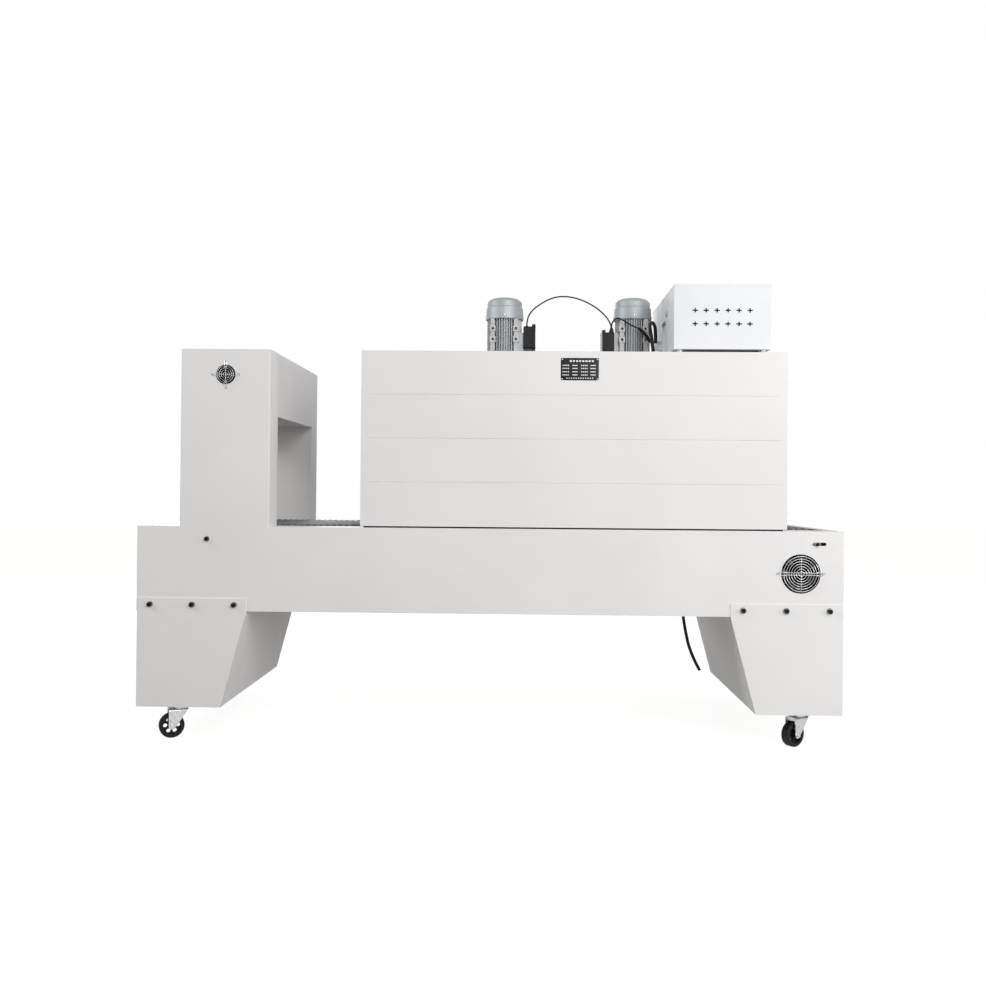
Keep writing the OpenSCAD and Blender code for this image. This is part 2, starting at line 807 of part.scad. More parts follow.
// A fan behind the front panel, along +Y: its housing is drawn by the child
module axial_fan(x, z, depth, bore, hub_d) {
    blades = 7;
    blade_t = 2.5;
    blade_turn = 38;
    tip_gap = 3;
    hub_set = 4;
    root = hub_d / 2 - blade_t;
    spider_t = 5;
    spider_w = 7;
    color(black_plastic) translate([x, -bed_in, z]) rotate([-90, 0, 0]) {
        difference() {
            linear_extrude(depth) children();
            translate([0, 0, -cut]) cylinder(d = bore, h = depth + 2 * cut);
        }
        translate([0, 0, depth - spider_t]) linear_extrude(spider_t) for (a = [45, 135]) rotate(a)
            square([bore + 2 * cut, spider_w], center = true);
        translate([0, 0, hub_set]) cylinder(d = hub_d, h = depth - hub_set);
        for (k = [0:blades - 1]) rotate(360 * k / blades) translate([root, 0, depth / 2 - spider_t / 2])
            rotate([blade_turn, 0, 0]) translate([0, -blade_t / 2, -depth / 4])
                cube([bore / 2 - tip_gap - root, blade_t, depth / 2]);
    }
}

module tower_fan() {
    axial_fan(tower_fan_x, tower_fan_z, tower_fan_depth, tower_fan_bore, 0.45 * tower_fan_bore)
        square(tower_fan_w, center = true);
}

module bed_fan() {
    axial_fan(bed_fan_x, bed_fan_axis_z, bed_fan_depth, bed_fan_bore, 0.47 * bed_fan_bore) intersection() {
        circle(d = bed_fan_w);
        square([bed_fan_w, bed_fan_bore + sheet], center = true);
    }
}

// A wire guard on the front panel: rings on bars, each bar given as its angle, offset and half length;
// a bar as long as eye_r ends in two eyes that hold the guard off the panel
module wire_guard(x, z, rings, r_out, wire, eye_r, bars, stand) {
    eye_d = 12;
    r_in = r_out / rings;
    color(bare_steel) translate([x, -bed_side, z]) rotate([90, 0, 0]) {
        for (k = [0:rings - 1]) let (r = r_in + (r_out - r_in) * k / (rings - 1))
            translate([0, 0, stand]) rotate_extrude() area([r - wire / 2, r + wire / 2], [0, wire]);
        for (bar = bars) rotate(bar[0]) translate([-bar[2], bar[1] - wire / 2, stand - wire / 2])
            cube([2 * bar[2], wire, wire]);
        for (bar = bars) if (bar[2] == eye_r) rotate(bar[0]) for (side = [-1, 1])
            translate([side * eye_r, 0, 0]) cylinder(d = eye_d, h = stand);
    }
}

module tower_fan_guard() {
    wire_guard(tower_fan_x, tower_fan_z, 5, tower_fan_bore / 2, 2, tower_eye_r,
        [[0, 0, tower_eye_r], [90, 0, tower_eye_r]], 4);
}

module bed_fan_guard() {
    r_out = bed_fan_bore / 2;
    pair = 5;
    wire_guard(bed_fan_x, bed_fan_axis_z, 9, r_out, 2.4, bed_eye_r,
        [[0, 0, bed_eye_r], [0, -pair, r_out], [0, pair, r_out], [90, 0, r_out]], 6);
}

// Heating tunnel

// Two bars along the deck strips that hold the tunnel's sides clear of the bed
module tunnel_plinth() {
    y_out = tunnel_side - plinth_inset;
    span = [tunnel_x0 + plinth_inset, tunnel_x1 - plinth_inset];
    color(black_plastic) for (side = [0, 1]) mirror([0, side, 0])
        block(span, [y_out - flange_w / 2, y_out], [bed_top, tunnel_bot]);
}

// The tunnel's side at -Y: a creased sheet with a flange folded in at its foot and at its head
module tunnel_side_panel() {
    strip = (tunnel_top - tunnel_bot) / crease_strips;
    span = [tunnel_x0, tunnel_x1];
    flange_y = [-tunnel_in, -tunnel_in + flange_w];
    groove = min(crease_depth, 0.8 * sheet) * sqrt(2);
    color(white_coat) {
        difference() {
            block(span, [-tunnel_side, -tunnel_in], [tunnel_bot, tunnel_top]);
            for (k = [1:crease_strips - 1])
                translate([tunnel_x0 + crease_margin, -tunnel_side, tunnel_bot + k * strip])
                    rotate([45, 0, 0]) translate([0, -groove / 2, -groove / 2])
                        cube([tunnel_l - 2 * crease_margin, groove, groove]);
        }
        block([tunnel_x0 + sheet, tunnel_x1 - sheet], flange_y, [tunnel_bot, tunnel_bot + sheet]);
        block(span, flange_y, [roof_top, tunnel_top]);
    }
}

module tunnel_front_panel() {
    tunnel_side_panel();
}

module tunnel_back_panel() {
    mirror([0, 1, 0]) tunnel_side_panel();
}

module tunnel_roof() {
    color(white_coat)
        block([tunnel_x0 + sheet, tunnel_x1 - sheet], [-tunnel_in, tunnel_in], [roof_top - sheet, roof_top]);
}

module tunnel_portal(x) {
    color(white_coat) crosswise(x, sheet)
        portal_outline(tunnel_in, tunnel_bot, roof_top, chamber_w, chamber_top);
}

module tunnel_left_portal() {
    tunnel_portal(tunnel_x0);
}

module tunnel_right_portal() {
    tunnel_portal(tunnel_x1 - sheet);
}

// The inner walls and ceiling of the heating chamber
module chamber_liner() {
    color(bare_steel) crosswise(tunnel_x0 + sheet, tunnel_l - 2 * sheet)
        portal_outline(chamber_w / 2 + sheet, tunnel_bot, chamber_top + sheet, chamber_w, chamber_top);
}

// A sheet on the chamber's +Y wall with two rows of upright air slots
module slotted_sheet() {
    span = [tunnel_x0 + air_margin, tunnel_x1 - air_margin];
    low = tunnel_bot + air_margin;
    high = chamber_top - air_margin;
    cols = floor((span[1] - span[0]) / air_pitch);
    color(bare_steel) upright(chamber_w / 2 - sheet, sheet) difference() {
        area(span, [low, high]);
        for (row = [1, 3]) for (col = [0:cols - 1])
            translate([tunnel_mid + (col - (cols - 1) / 2) * air_pitch, low + (high - low) * row / 4])
                rotate(90) slot_outline(air_slot_l, air_slot_w);
    }
}

module chamber_front_sheet() {
    mirror([0, 1, 0]) slotted_sheet();
}

module chamber_back_sheet() {
    slotted_sheet();
}

// Fan motors

// Half the width of the motor's round outline at a distance from its middle
function fin_reach(u) = sqrt(pow(motor_d / 2, 2) - u * u);

// The motor's fins, square to each other on its four sides, and its two columns with their pads
module motor_ribs(low, high) {
    fins_each_way = floor((column_x - column_w / 2 - fin_t) / fin_pitch);
    column_y = fin_reach(column_x) + fin_h / 2;
    for (turn = [0, 90]) rotate(turn) for (k = [-fins_each_way:fins_each_way]) let (x = k * fin_pitch)
        block([x - fin_t / 2, x + fin_t / 2], [-fin_reach(x), fin_reach(x)], [low, high]);
    for (x = [-column_x, column_x]) {
        block([x - column_w / 2, x + column_w / 2], [-column_y, column_y], [low, high]);
        for (z = pad_z) translate([x, 0, z])
            block([-pad_w / 2, pad_w / 2], [-column_y - pad_rise, -core_r / 2], [-pad_w / 2, pad_w / 2]);
    }
}

// A finned motor that stands on its flange; facing is +1 or -1, the X side with its terminal box
module fan_motor(x, facing) {
    collar_h = 16;
    collar_r = core_r + fin_h / 2;
    shield_h = 10;
    boss_half = 38;
    boss_z = [term_top[1] - term_l + boss_in, term_top[1] - boss_in];
    rib_low = motor_flange_h + collar_h / 2;
    color(cast_grey) translate([x, 0, roof_top]) difference() {
        union() {
            cylinder(d = motor_flange_d, h = motor_flange_h);
            cylinder(r = collar_r, h = motor_flange_h + collar_h);
            cylinder(r = core_r, h = motor_h);
            motor_ribs(rib_low, motor_h - shield_h);
            translate([0, 0, motor_h - shield_h]) cylinder(d = cowl_fit_d, h = shield_h);
            mirror([facing < 0 ? 1 : 0, 0, 0]) block([0, boss_x], [-boss_half, boss_half], boss_z);
        }
        for (x_pad = [-column_x, column_x]) for (z = pad_z) translate([x_pad, -motor_d, z])
            rotate([-90, 0, 0]) cylinder(d = pad_hole_d, h = motor_d - core_r / 2 - fin_h);
    }
}

module left_motor() {
    fan_motor(motor_x[0], 1);
}

module right_motor() {
    fan_motor(motor_x[1], -1);
}

// Half of a cowl's section from its axis, set in by t: a flared skirt, a step, a neck and a domed head
module cowl_section(t, low) {
    foot_r = cowl_d / 2 - t;
    neck_r = cowl_neck_r - t;
    head = cowl_h - t;
    skirt_top = cowl_skirt_h - t / 2;
    polygon([
        [0, low], [foot_r, low], [foot_r - cowl_flare, skirt_top], [neck_r, skirt_top + cowl_step],
        [neck_r, cowl_h - cowl_round], [0, cowl_h - cowl_round]
    ]);
    intersection() {
        area([0, neck_r], [low, head]);
        union() {
            area([0, cowl_head_r], [low, head]);
            translate([cowl_head_r, cowl_h - cowl_round]) circle(r = cowl_round - t);
        }
    }
}

// A sheet cowl over a motor's fan, with rings of air holes in its head
module motor_cowl(x) {
    rings = floor((cowl_head_r - cowl_hole_d / 2) / cowl_ring);
    color(bare_steel) translate([x, 0, roof_top + motor_h - cowl_lap]) difference() {
        rotate_extrude() difference() {
            cowl_section(0, 0);
            cowl_section(cowl_t, -cut);
        }
        for (ring = [1:rings]) for (k = [0:6 * ring - 1]) rotate(60 * k / ring)
            translate([cowl_ring * ring, 0, cowl_h - 2 * cowl_t]) cylinder(d = cowl_hole_d, h = 4 * cowl_t);
    }
}

module left_motor_cowl() {
    motor_cowl(motor_x[0]);
}

module right_motor_cowl() {
    motor_cowl(motor_x[1]);
}

// A terminal box and its lid on the motor's boss, with glands of height gland_up on its head
module terminal_box(x, facing, top, glands, gland_up) {
    half = term_w / 2;
    low = top - term_l;
    head = top - term_drop;
    sink = 2;
    color(black_plastic) translate([x, 0, roof_top]) mirror([facing < 0 ? 1 : 0, 0, 0]) {
        crosswise(boss_x, term_base)
            round_area([-half + lid_lap, half - lid_lap], [low + lid_lap, head], term_r);
        crosswise(boss_x + term_base, term_d - term_base) round_area([-half, half], [low, top], term_r);
        for (g = glands) translate([boss_x + g[0], g[1], head - sink]) gland(lead_d, gland_up + sink);
    }
}

module left_terminal_box() {
    terminal_box(motor_x[0], 1, term_top[0], left_glands, lead_gland_h[0]);
}

module right_terminal_box() {
    terminal_box(motor_x[1], -1, term_top[1], right_glands, lead_gland_h[1]);
}

// Cabinet

module vent_outline() {
    square([vent_l, vent_arm], center = true);
    square([vent_arm, vent_h], center = true);
}

// A box over the cabinet's plan, set in from its sides by t
module cabinet_block(t, z) {
    block([cabinet_x0 + t, cabinet_x1 - t], [cabinet_y0 + t, cabinet_y1 - t], z);
}

// An elbow on the cabinet's left side whose gland looks up, for the conduit
module elbow_gland() {
    bend_d = conduit_d + 4;
    nut_d = conduit_d + 12;
    nut_h = 6;
    translate([cabinet_x0 - elbow_reach, elbow_mouth[0], cabinet_z0 + elbow_mouth[1] - gland_h]) {
        gland(conduit_d, gland_h);
        sphere(d = bend_d);
        rotate([0, 90, 0]) cylinder(d = bend_d, h = elbow_reach);
        translate([elbow_reach - nut_h, 0, 0]) rotate([0, 90, 0]) cylinder(d = nut_d, h = nut_h, $fn = 6);
    }
}

// The cabinet's body, open at its back and its top, on four feet
module control_cabinet() {
    color(white_coat) {
        difference() {
            union() {
                cabinet_block(0, [cabinet_z0, lid_z - lid_seam]);
                cabinet_block(sheet / 2, [cabinet_z0, lid_z]);
            }
            block([cabinet_x0 + sheet, cabinet_x1 - sheet], [cabinet_y0 + sheet, cabinet_y1 + cut],
                [cabinet_z0 + sheet, cabinet_z1]);
            upright(cabinet_y0 - cut, sheet + 2 * cut) for (row = [0, 1]) for (col = [0:vent_cols - 1])
                translate([
                    cabinet_mid + (col - (vent_cols - 1) / 2) * vent_pitch,
                    cabinet_z0 + vent_low + row * vent_rise
                ]) vent_outline();
        }
        for (x = [cabinet_x0 + cabinet_foot_in, cabinet_x1 - cabinet_foot_in])
            for (y = [cabinet_y0 + cabinet_foot_in, cabinet_y1 - cabinet_foot_in])
                translate([x, y, roof_top]) cylinder(d = cabinet_foot_d, h = cabinet_foot_h);
        translate([cabinet_x0, lead_entry[0], cabinet_z0 + lead_entry[1]]) rotate([0, -90, 0])
            gland(lead_d, gland_h);
        elbow_gland();
    }
}

// The sunk base under the cabinet, behind its feet
module cabinet_base() {
    color(black_plastic)
        cabinet_block(cabinet_foot_in + cabinet_foot_d / 2 + cabinet_base_gap, [roof_top, cabinet_z0]);
}

module cabinet_lid() {
    color(white_coat) difference() {
        cabinet_block(0, [lid_z, cabinet_z1]);
        cabinet_block(sheet, [lid_z - cut, cabinet_z1 - sheet]);
    }
}

// The plate that closes the cabinet on the operator's side
module control_panel() {
    color(white_coat) block([cabinet_x0 + sheet, cabinet_x1 - sheet], [cabinet_y1 - sheet, cabinet_y1],
        [cabinet_z0 + sheet, lid_z]);
}

// A round control on the operator's panel, at height w above the cabinet's underside: a bezel and a cap
module round_control(control, w, shift = 0) {
    bezel_h = 5;
    translate([cabinet_mid + control[0] + shift, cabinet_y1, cabinet_z0 + w]) rotate([-90, 0, 0]) {
        cylinder(d = control[1], h = bezel_h);
        cylinder(d = control[2], h = control[3]);
    }
}

// Two heat controllers, a speed knob, a row of push buttons and a stop button
module operator_controls() {
    meter_t = 7;
    half = meter_w / 2;
    upper = 0.7 * cabinet_h;
    lower = 0.3 * cabinet_h;
    color(black_plastic) {
        for (u = meter_places) translate([cabinet_mid + u, 0, cabinet_z0 + upper])
            upright(cabinet_y1, meter_t) round_area([-half, half], [-half, half], meter_t / 2);
        round_control(speed_knob, upper);
        for (k = [0:buttons - 1]) round_control(push_button, lower, k * button_pitch);
        round_control(stop_button, lower);
    }
}

// Leads

module motor_link_lead() {
    color(black_plastic) tube(link_route, lead_d, [0, 1, 0]);
}

module cabinet_lead() {
    color(black_plastic) tube(cabinet_route, lead_d, [1, 0, 0]);
}

module conduit() {
    color(black_plastic) tube(conduit_route, conduit_d, [1, 0, 0]);
}

module conduit_gland() {
    color(black_plastic) translate([tunnel_x1 - conduit_inset, conduit_y, roof_top])
        gland(conduit_d, gland_h);
}

module power_gland() {
    color(black_plastic) translate([bed_end - power_inset, 0, bed_bot]) mirror([0, 0, 1])
        gland(power_d, gland_h);
}

module power_lead() {
    color(black_plastic) tube(power_route, power_d, [0, 1, 0]);
}

front_side_panel();
back_side_panel();
front_conveyor_beam();
back_conveyor_beam();
bed_floor_tray();
left_end_plate();
right_end_plate();
exit_slide_plate();
infeed_slide_plate();
roller_chain_loop();
drive_shaft();
tail_shaft();
left_leg();
right_leg();
caster_plates();
caster_fork(0);  // caster_fork_front_left
caster_fork(1);  // caster_fork_front_right
caster_fork(2);  // caster_fork_back_left
caster_fork(3);  // caster_fork_back_right
caster_wheel(0);  // caster_wheel_front_left
caster_wheel(1);  // caster_wheel_front_right
caster_wheel(2);  // caster_wheel_back_left
caster_wheel(3);  // caster_wheel_back_right
tower_left_wall();
tower_right_wall();
tower_roof();
tower_liner();
tower_fan();
tower_fan_guard();
bed_fan();
bed_fan_guard();
tunnel_plinth();
tunnel_front_panel();
tunnel_back_panel();
tunnel_roof();
tunnel_left_portal();
tunnel_right_portal();
chamber_liner();
chamber_front_sheet();
chamber_back_sheet();
left_motor();
right_motor();
left_motor_cowl();
right_motor_cowl();
left_terminal_box();
right_terminal_box();
control_cabinet();
cabinet_base();
cabinet_lid();
control_panel();
operator_controls();
motor_link_lead();
cabinet_lead();
conduit_gland();
conduit();
power_gland();
power_lead();
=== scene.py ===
# %% [markdown]
# A heat shrink tunnel for a packing line. The frame already holds every rigid piece of the machine at its
# real size: the conveyor bed, the legs and casters, the cooling tower, the heating tunnel, the motors and
# the cabinet. This lesson adds what the frame leaves out: cables, fasteners, wire guards, gaskets, a rating
# plate, the operator's controls, the finish of every surface, and a plain studio around it.

# %% Load the frame
import json
import math

import bpy
from mathutils import Matrix, Vector


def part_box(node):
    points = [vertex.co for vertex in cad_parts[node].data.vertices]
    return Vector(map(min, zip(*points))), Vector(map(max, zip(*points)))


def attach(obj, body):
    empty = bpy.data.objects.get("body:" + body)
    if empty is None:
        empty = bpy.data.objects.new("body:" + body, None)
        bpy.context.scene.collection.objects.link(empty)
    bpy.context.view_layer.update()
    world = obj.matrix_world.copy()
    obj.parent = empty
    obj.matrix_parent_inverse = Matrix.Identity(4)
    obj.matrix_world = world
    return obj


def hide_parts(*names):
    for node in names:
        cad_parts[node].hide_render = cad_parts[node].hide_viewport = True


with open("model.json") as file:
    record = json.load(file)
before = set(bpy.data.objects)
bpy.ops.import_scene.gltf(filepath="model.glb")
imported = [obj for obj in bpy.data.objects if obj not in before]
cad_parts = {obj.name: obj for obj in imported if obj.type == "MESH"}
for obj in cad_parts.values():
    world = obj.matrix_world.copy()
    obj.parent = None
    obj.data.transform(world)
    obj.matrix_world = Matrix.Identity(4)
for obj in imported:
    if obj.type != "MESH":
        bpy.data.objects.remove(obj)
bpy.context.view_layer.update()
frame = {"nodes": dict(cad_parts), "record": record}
scene = bpy.context.scene

# %% [markdown]
# The camera stands where a person would take a catalogue picture: straight in front, a little over four
# metres away, with the lens a little above the bed. It could be aimed with a constraint, but its turn, tilt
# and roll are known, so its axes are built from those three angles and written to its matrix.

# %% Camera
LENS_MM = 37.379
LENS_SHIFT = (-0.00086, -0.01471)
CAMERA_PLACE = Vector((0.1190, -4.2880, 0.9546))
TURN, TILT, ROLL = (math.radians(angle) for angle in (-1.4484, 0.6520, 0.4664))

ahead = Vector((math.sin(TURN) * math.cos(TILT), math.cos(TURN) * math.cos(TILT), math.sin(TILT)))
level_right = Vector((math.cos(TURN), -math.sin(TURN), 0))
level_up = level_right.cross(ahead)
right = level_right * math.cos(ROLL) + level_up * math.sin(ROLL)
up = level_up * math.cos(ROLL) - level_right * math.sin(ROLL)

bpy.ops.object.camera_add()
camera = bpy.context.object
camera.name = "catalogue_camera"
camera.data.lens = LENS_MM
camera.data.shift_x, camera.data.shift_y = LENS_SHIFT
camera.matrix_world = Matrix.Translation(CAMERA_PLACE) @ Matrix((right, up, -ahead)).transposed().to_4x4()
scene.camera = camera
scene.view_settings.view_transform = "Standard"
print("camera at", [round(side, 3) for side in camera.matrix_world.translation])

# %% [markdown]
# Four cables show. One links the two motors' terminal boxes in a high arch, one runs from the right box down
# to the cabinet, a thicker conduit loops from the roof into the cabinet, and the power lead hangs out of the
# bed. Each is one smooth curve through points chosen along its route, with its round section as the bevel.
# The other choice, a mesh tube, would need far more points for the same soft bends.

# %% How a cable is bent
CURVE_STEPS = 8
CABLE_SMOOTHNESS = 5


def deselect():
    """Leaves edit mode and selects nothing."""
    if bpy.context.object and bpy.context.object.mode != "OBJECT":
        bpy.ops.object.mode_set(mode="OBJECT")
    bpy.ops.object.select_all(action="DESELECT")


def bend(points, diameter, smoothness):
    """A round wire or cable bent through its points, as a curve.

    The radius is set on the points, with a bevel of 1, because a curve's box counts the points' radius."""
    deselect()
    bpy.ops.curve.primitive_bezier_curve_add()
    bent = bpy.context.object
    spline = bent.data.splines[0]
    spline.bezier_points.add(len(points) - len(spline.bezier_points))
    for point, place in zip(spline.bezier_points, points):
        point.co = place
        point.radius = diameter / 2
        point.handle_left_type = point.handle_right_type = "AUTO"
    bent.data.bevel_depth = 1
    bent.data.bevel_resolution = smoothness
    bent.data.resolution_u = CURVE_STEPS
    bent.data.use_fill_caps = True
    return bent


def lay_cable(name, route, diameter, node):
    """A cable along its route, standing for the frame's plain tube."""
    cable = bend(route, diameter, CABLE_SMOOTHNESS)
    cable.name = name
    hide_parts(node)
    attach(cable, "machine")
    return cable


print("a cable has", CURVE_STEPS, "steps from one point of its route to the next")

# %% [markdown]
# A route is a list of places in metres, from the end where the cable leaves the machine. The places are
# those of the frame's plain tubes, so that each cable lies where its tube is. They are less than 40 mm
# apart, because a curve through points that are further apart could swing out between them.

# %% Cable routes
link_route = [
    (0.144, 0, 1.644), (0.144, 0, 1.654), (0.146, 0, 1.668), (0.150, 0, 1.683), (0.159, 0, 1.699),
    (0.176, 0, 1.718), (0.202, 0, 1.737), (0.232, 0, 1.754), (0.265, 0, 1.765), (0.300, 0, 1.768),
    (0.336, 0, 1.764), (0.370, 0, 1.754), (0.402, 0, 1.740), (0.432, 0, 1.722), (0.457, 0, 1.702),
    (0.477, 0, 1.681), (0.489, 0, 1.662), (0.495, 0, 1.647), (0.496, 0, 1.640), (0.496, 0, 1.633),
]
cabinet_route = [
    (0.496, -0.026, 1.633), (0.496, -0.026, 1.641), (0.498, -0.030, 1.653), (0.504, -0.039, 1.663),
    (0.512, -0.051, 1.668), (0.521, -0.064, 1.667), (0.531, -0.076, 1.661), (0.540, -0.085, 1.654),
    (0.550, -0.092, 1.646), (0.561, -0.097, 1.639), (0.573, -0.099, 1.632), (0.586, -0.099, 1.626),
    (0.599, -0.098, 1.620), (0.612, -0.096, 1.612), (0.623, -0.091, 1.603), (0.632, -0.085, 1.594),
    (0.640, -0.077, 1.584), (0.648, -0.068, 1.575), (0.657, -0.062, 1.569), (0.666, -0.060, 1.567),
    (0.675, -0.060, 1.567),
]
conduit_route = [
    (0.642, -0.235, 1.496), (0.642, -0.235, 1.508), (0.640, -0.235, 1.525), (0.637, -0.235, 1.547),
    (0.634, -0.235, 1.570), (0.631, -0.230, 1.593), (0.631, -0.216, 1.613), (0.636, -0.195, 1.626),
    (0.647, -0.171, 1.631), (0.657, -0.147, 1.626), (0.664, -0.126, 1.613), (0.667, -0.112, 1.593),
    (0.668, -0.107, 1.570), (0.668, -0.107, 1.556),
]
power_route = [
    (0.801, 0, 0.470), (0.801, 0, 0.455), (0.804, 0, 0.434), (0.808, 0, 0.407), (0.813, 0, 0.378),
    (0.819, 0, 0.350), (0.825, 0, 0.323), (0.834, 0, 0.296), (0.844, 0, 0.271), (0.857, 0, 0.243),
    (0.873, 0, 0.213),
]
print("points of the routes:", len(link_route), len(cabinet_route), len(conduit_route), len(power_route))

# %% [markdown]
# Each cable is then laid along its route with its thickness, and the frame's plain tube that it stands for is
# hidden. Three cables go back into the machine, and the power lead ends bare.

# %% Lay the cables
LEAD_D, CONDUIT_D, POWER_D = 0.006, 0.014, 0.013
link_cable = lay_cable("motor_link_cable", link_route, LEAD_D, "motor_link_lead")
cabinet_cable = lay_cable("cabinet_cable", cabinet_route, LEAD_D, "cabinet_lead")
conduit_hose = lay_cable("conduit_hose", conduit_route, CONDUIT_D, "conduit")
power_cable = lay_cable("power_cable", power_route, POWER_D, "power_lead")
cables = [link_cable, cabinet_cable, conduit_hose, power_cable]
print("cables:", [cable.name for cable in cables])

# %% [markdown]
# Colours are given as sRGB hex values, while the shader works in linear light, so one function turns
# a hex value into linear RGBA. A second function adds a node: settings that name an input set its value, any
# other setting is a property of the node, and links join the outputs of earlier nodes to its inputs. Some
# sockets share a name with others, so these go by their number, which is named here.

# %% Colour and node helpers
FROM_LEAST, FROM_MOST, TO_LEAST, TO_MOST = 1, 2, 3, 4  # the two ranges of a Map Range node
MIX_DARK, MIX_LIGHT, MIX_RESULT = 6, 7, 2  # the colours of a Mix node


def linear(hex_colour):
    """An sRGB hex colour as linear RGBA."""
    channels = [int(hex_colour[i:i + 2], 16) / 255 for i in (1, 3, 5)]
    return [c / 12.92 if c <= 0.04045 else ((c + 0.055) / 1.055) ** 2.4 for c in channels] + [1]


def per_mm(size):
    """The scale at which a texture's features are about this many millimetres wide."""
    return 1000 / size


def add_node(tree, kind, settings=None, links=None):
    """Adds a node with its settings, then links its inputs."""
    made = tree.nodes.new(kind)
    for name, value in (settings or {}).items():
        if isinstance(name, int) or name in made.inputs:
            made.inputs[name].default_value = value
        else:
            setattr(made, name, value)
    for name, output in (links or {}).items():
        tree.links.new(output, made.inputs[name])
    return made


print("white as linear light:", linear("#FFFFFF"))

# %% [markdown]
# Every material starts the same way: a new material whose shader gets the values that are the same all over
# the surface. The pattern nodes read Object coordinates, which are metres in the machine's own frame here, so
# a scale from per_mm is a real size on the sheet. Generated coordinates would stretch with each piece.

# %% Material starter
def start_material(name, shader):
    """A material with its shader's sockets set; returns it with its tree, its shader and coordinates."""
    material = bpy.data.materials.new(name)
    material.use_nodes = True
    tree = material.node_tree
    bsdf = tree.nodes["Principled BSDF"]
    for socket, value in shader.items():
        bsdf.inputs[socket].default_value = value
    place = add_node(tree, "ShaderNodeTexCoord").outputs["Object"]
    return material, tree, bsdf, place


print("a pattern 5 mm wide has a scale of", per_mm(5))

# %% [markdown]
# Powder coat is a polyester powder melted onto the folded sheets. It gives the eye an even off-white with a
# satin gloss, a faint orange peel, and broad clouds where the film is a little thicker. The real orange peel
# is about 2 mm wide, too fine for this picture, so it is drawn at 5 mm.

# %% Powder coat
CLOUD_MM, FILM_MM, PEEL_MM = 420, 60, 5


def powder_coat(name, dark, light):
    """A satin coat: broad clouds of two tones, uneven gloss and an orange peel."""
    material, tree, bsdf, place = start_material(name, {"IOR": 1.5, "Specular IOR Level": 0.35})
    clouds = add_node(tree, "ShaderNodeTexNoise", {"Scale": per_mm(CLOUD_MM), "Detail": 3}, {"Vector": place})
    cloud = add_node(
        tree, "ShaderNodeMapRange", {FROM_LEAST: 0.35, FROM_MOST: 0.65}, {0: clouds.outputs["Fac"]}
    )
    tone = add_node(
        tree, "ShaderNodeMix", {"data_type": "RGBA", MIX_DARK: linear(dark), MIX_LIGHT: linear(light)},
        {0: cloud.outputs[0]},
    )
    tree.links.new(tone.outputs[MIX_RESULT], bsdf.inputs["Base Color"])
    film = add_node(tree, "ShaderNodeTexNoise", {"Scale": per_mm(FILM_MM), "Detail": 4}, {"Vector": place})
    gloss = add_node(tree, "ShaderNodeMapRange", {TO_LEAST: 0.42, TO_MOST: 0.56}, {0: film.outputs["Fac"]})
    tree.links.new(gloss.outputs[0], bsdf.inputs["Roughness"])
    peel = add_node(tree, "ShaderNodeTexNoise", {"Scale": per_mm(PEEL_MM), "Detail": 2}, {"Vector": place})
    bump = add_node(
        tree, "ShaderNodeBump", {"Strength": 0.06, "Distance": 0.0004}, {"Height": peel.outputs["Fac"]}
    )
    tree.links.new(bump.outputs[0], bsdf.inputs["Normal"])
    return material


warm_coat = powder_coat("white_powder_coat", "#E4E2E2", "#E8E6E5")
cool_coat = powder_coat("cabinet_powder_coat", "#E2E4E8", "#E7E9EC")
print("powder coats:", warm_coat.name, cool_coat.name)

# %% [markdown]
# The slide plates and the heating chamber are bare stainless sheet. A belt sander brushed it along its
# length, so the scratches are long and narrow: one noise texture is stretched by a Mapping node, 150 mm long
# against 2.5 mm wide, and drives both the roughness and a shallow bump. Real scratches are finer, and are
# drawn as coarse as they need to show. The rollers are duller, with a grain turned around them, and their
# zinc is painted darker than it is, as painted shade for the shade that falls between the rollers.

# %% Brushed stainless and roller steel
def brushed_metal(name, dark, light, grain, roughness, bump_strength):
    """A metal whose scratches are as long as its grain says along X, Y and Z, in millimetres."""
    material, tree, bsdf, place = start_material(name, {"Metallic": 1})
    stretch = add_node(
        tree, "ShaderNodeMapping", {"Scale": [per_mm(size) for size in grain]}, {"Vector": place}
    )
    scratch = add_node(tree, "ShaderNodeTexNoise", {"Scale": 1, "Detail": 5}, {"Vector": stretch.outputs[0]})
    drawn = scratch.outputs["Fac"]
    tone = add_node(
        tree, "ShaderNodeMix", {"data_type": "RGBA", MIX_DARK: linear(dark), MIX_LIGHT: linear(light)},
        {0: drawn},
    )
    tree.links.new(tone.outputs[MIX_RESULT], bsdf.inputs["Base Color"])
    least_rough, dullest = roughness
    gloss = add_node(tree, "ShaderNodeMapRange", {TO_LEAST: least_rough, TO_MOST: dullest}, {0: drawn})
    tree.links.new(gloss.outputs[0], bsdf.inputs["Roughness"])
    bump = add_node(
        tree, "ShaderNodeBump", {"Strength": bump_strength, "Distance": 0.0003}, {"Height": drawn}
    )
    tree.links.new(bump.outputs[0], bsdf.inputs["Normal"])
    return material


stainless = brushed_metal(
    "brushed_stainless", "#8F8E8B", "#B0AFAC",
    grain=(150, 2.5, 2.5), roughness=(0.28, 0.46), bump_strength=0.12,
)
# The rollers' dark tones are painted shade: bright zinc made dark to stand for the shade between the rollers.
roller_steel = brushed_metal(
    "zinc_plated_rollers_and_painted_shade", "#515252", "#7E7F7E",
    grain=(60, 2.5, 60), roughness=(0.42, 0.6), bump_strength=0.1,
)
print("brushed metals:", stainless.name, roller_steel.name)

# %% [markdown]
# Zinc plate on the caster sheets, the nuts and the screws is bright with a faint crystal pattern, the
# spangle. A Voronoi texture gives each crystal, about 7 mm across, its own brightness; plain noise would
# blur one crystal into the next. The washers, the guards' screws and the cabinet's pull and lock have gone
# dull, and the guards' wire was polished before it was plated.

# %% Zinc plate
SPANGLE_MM = 7


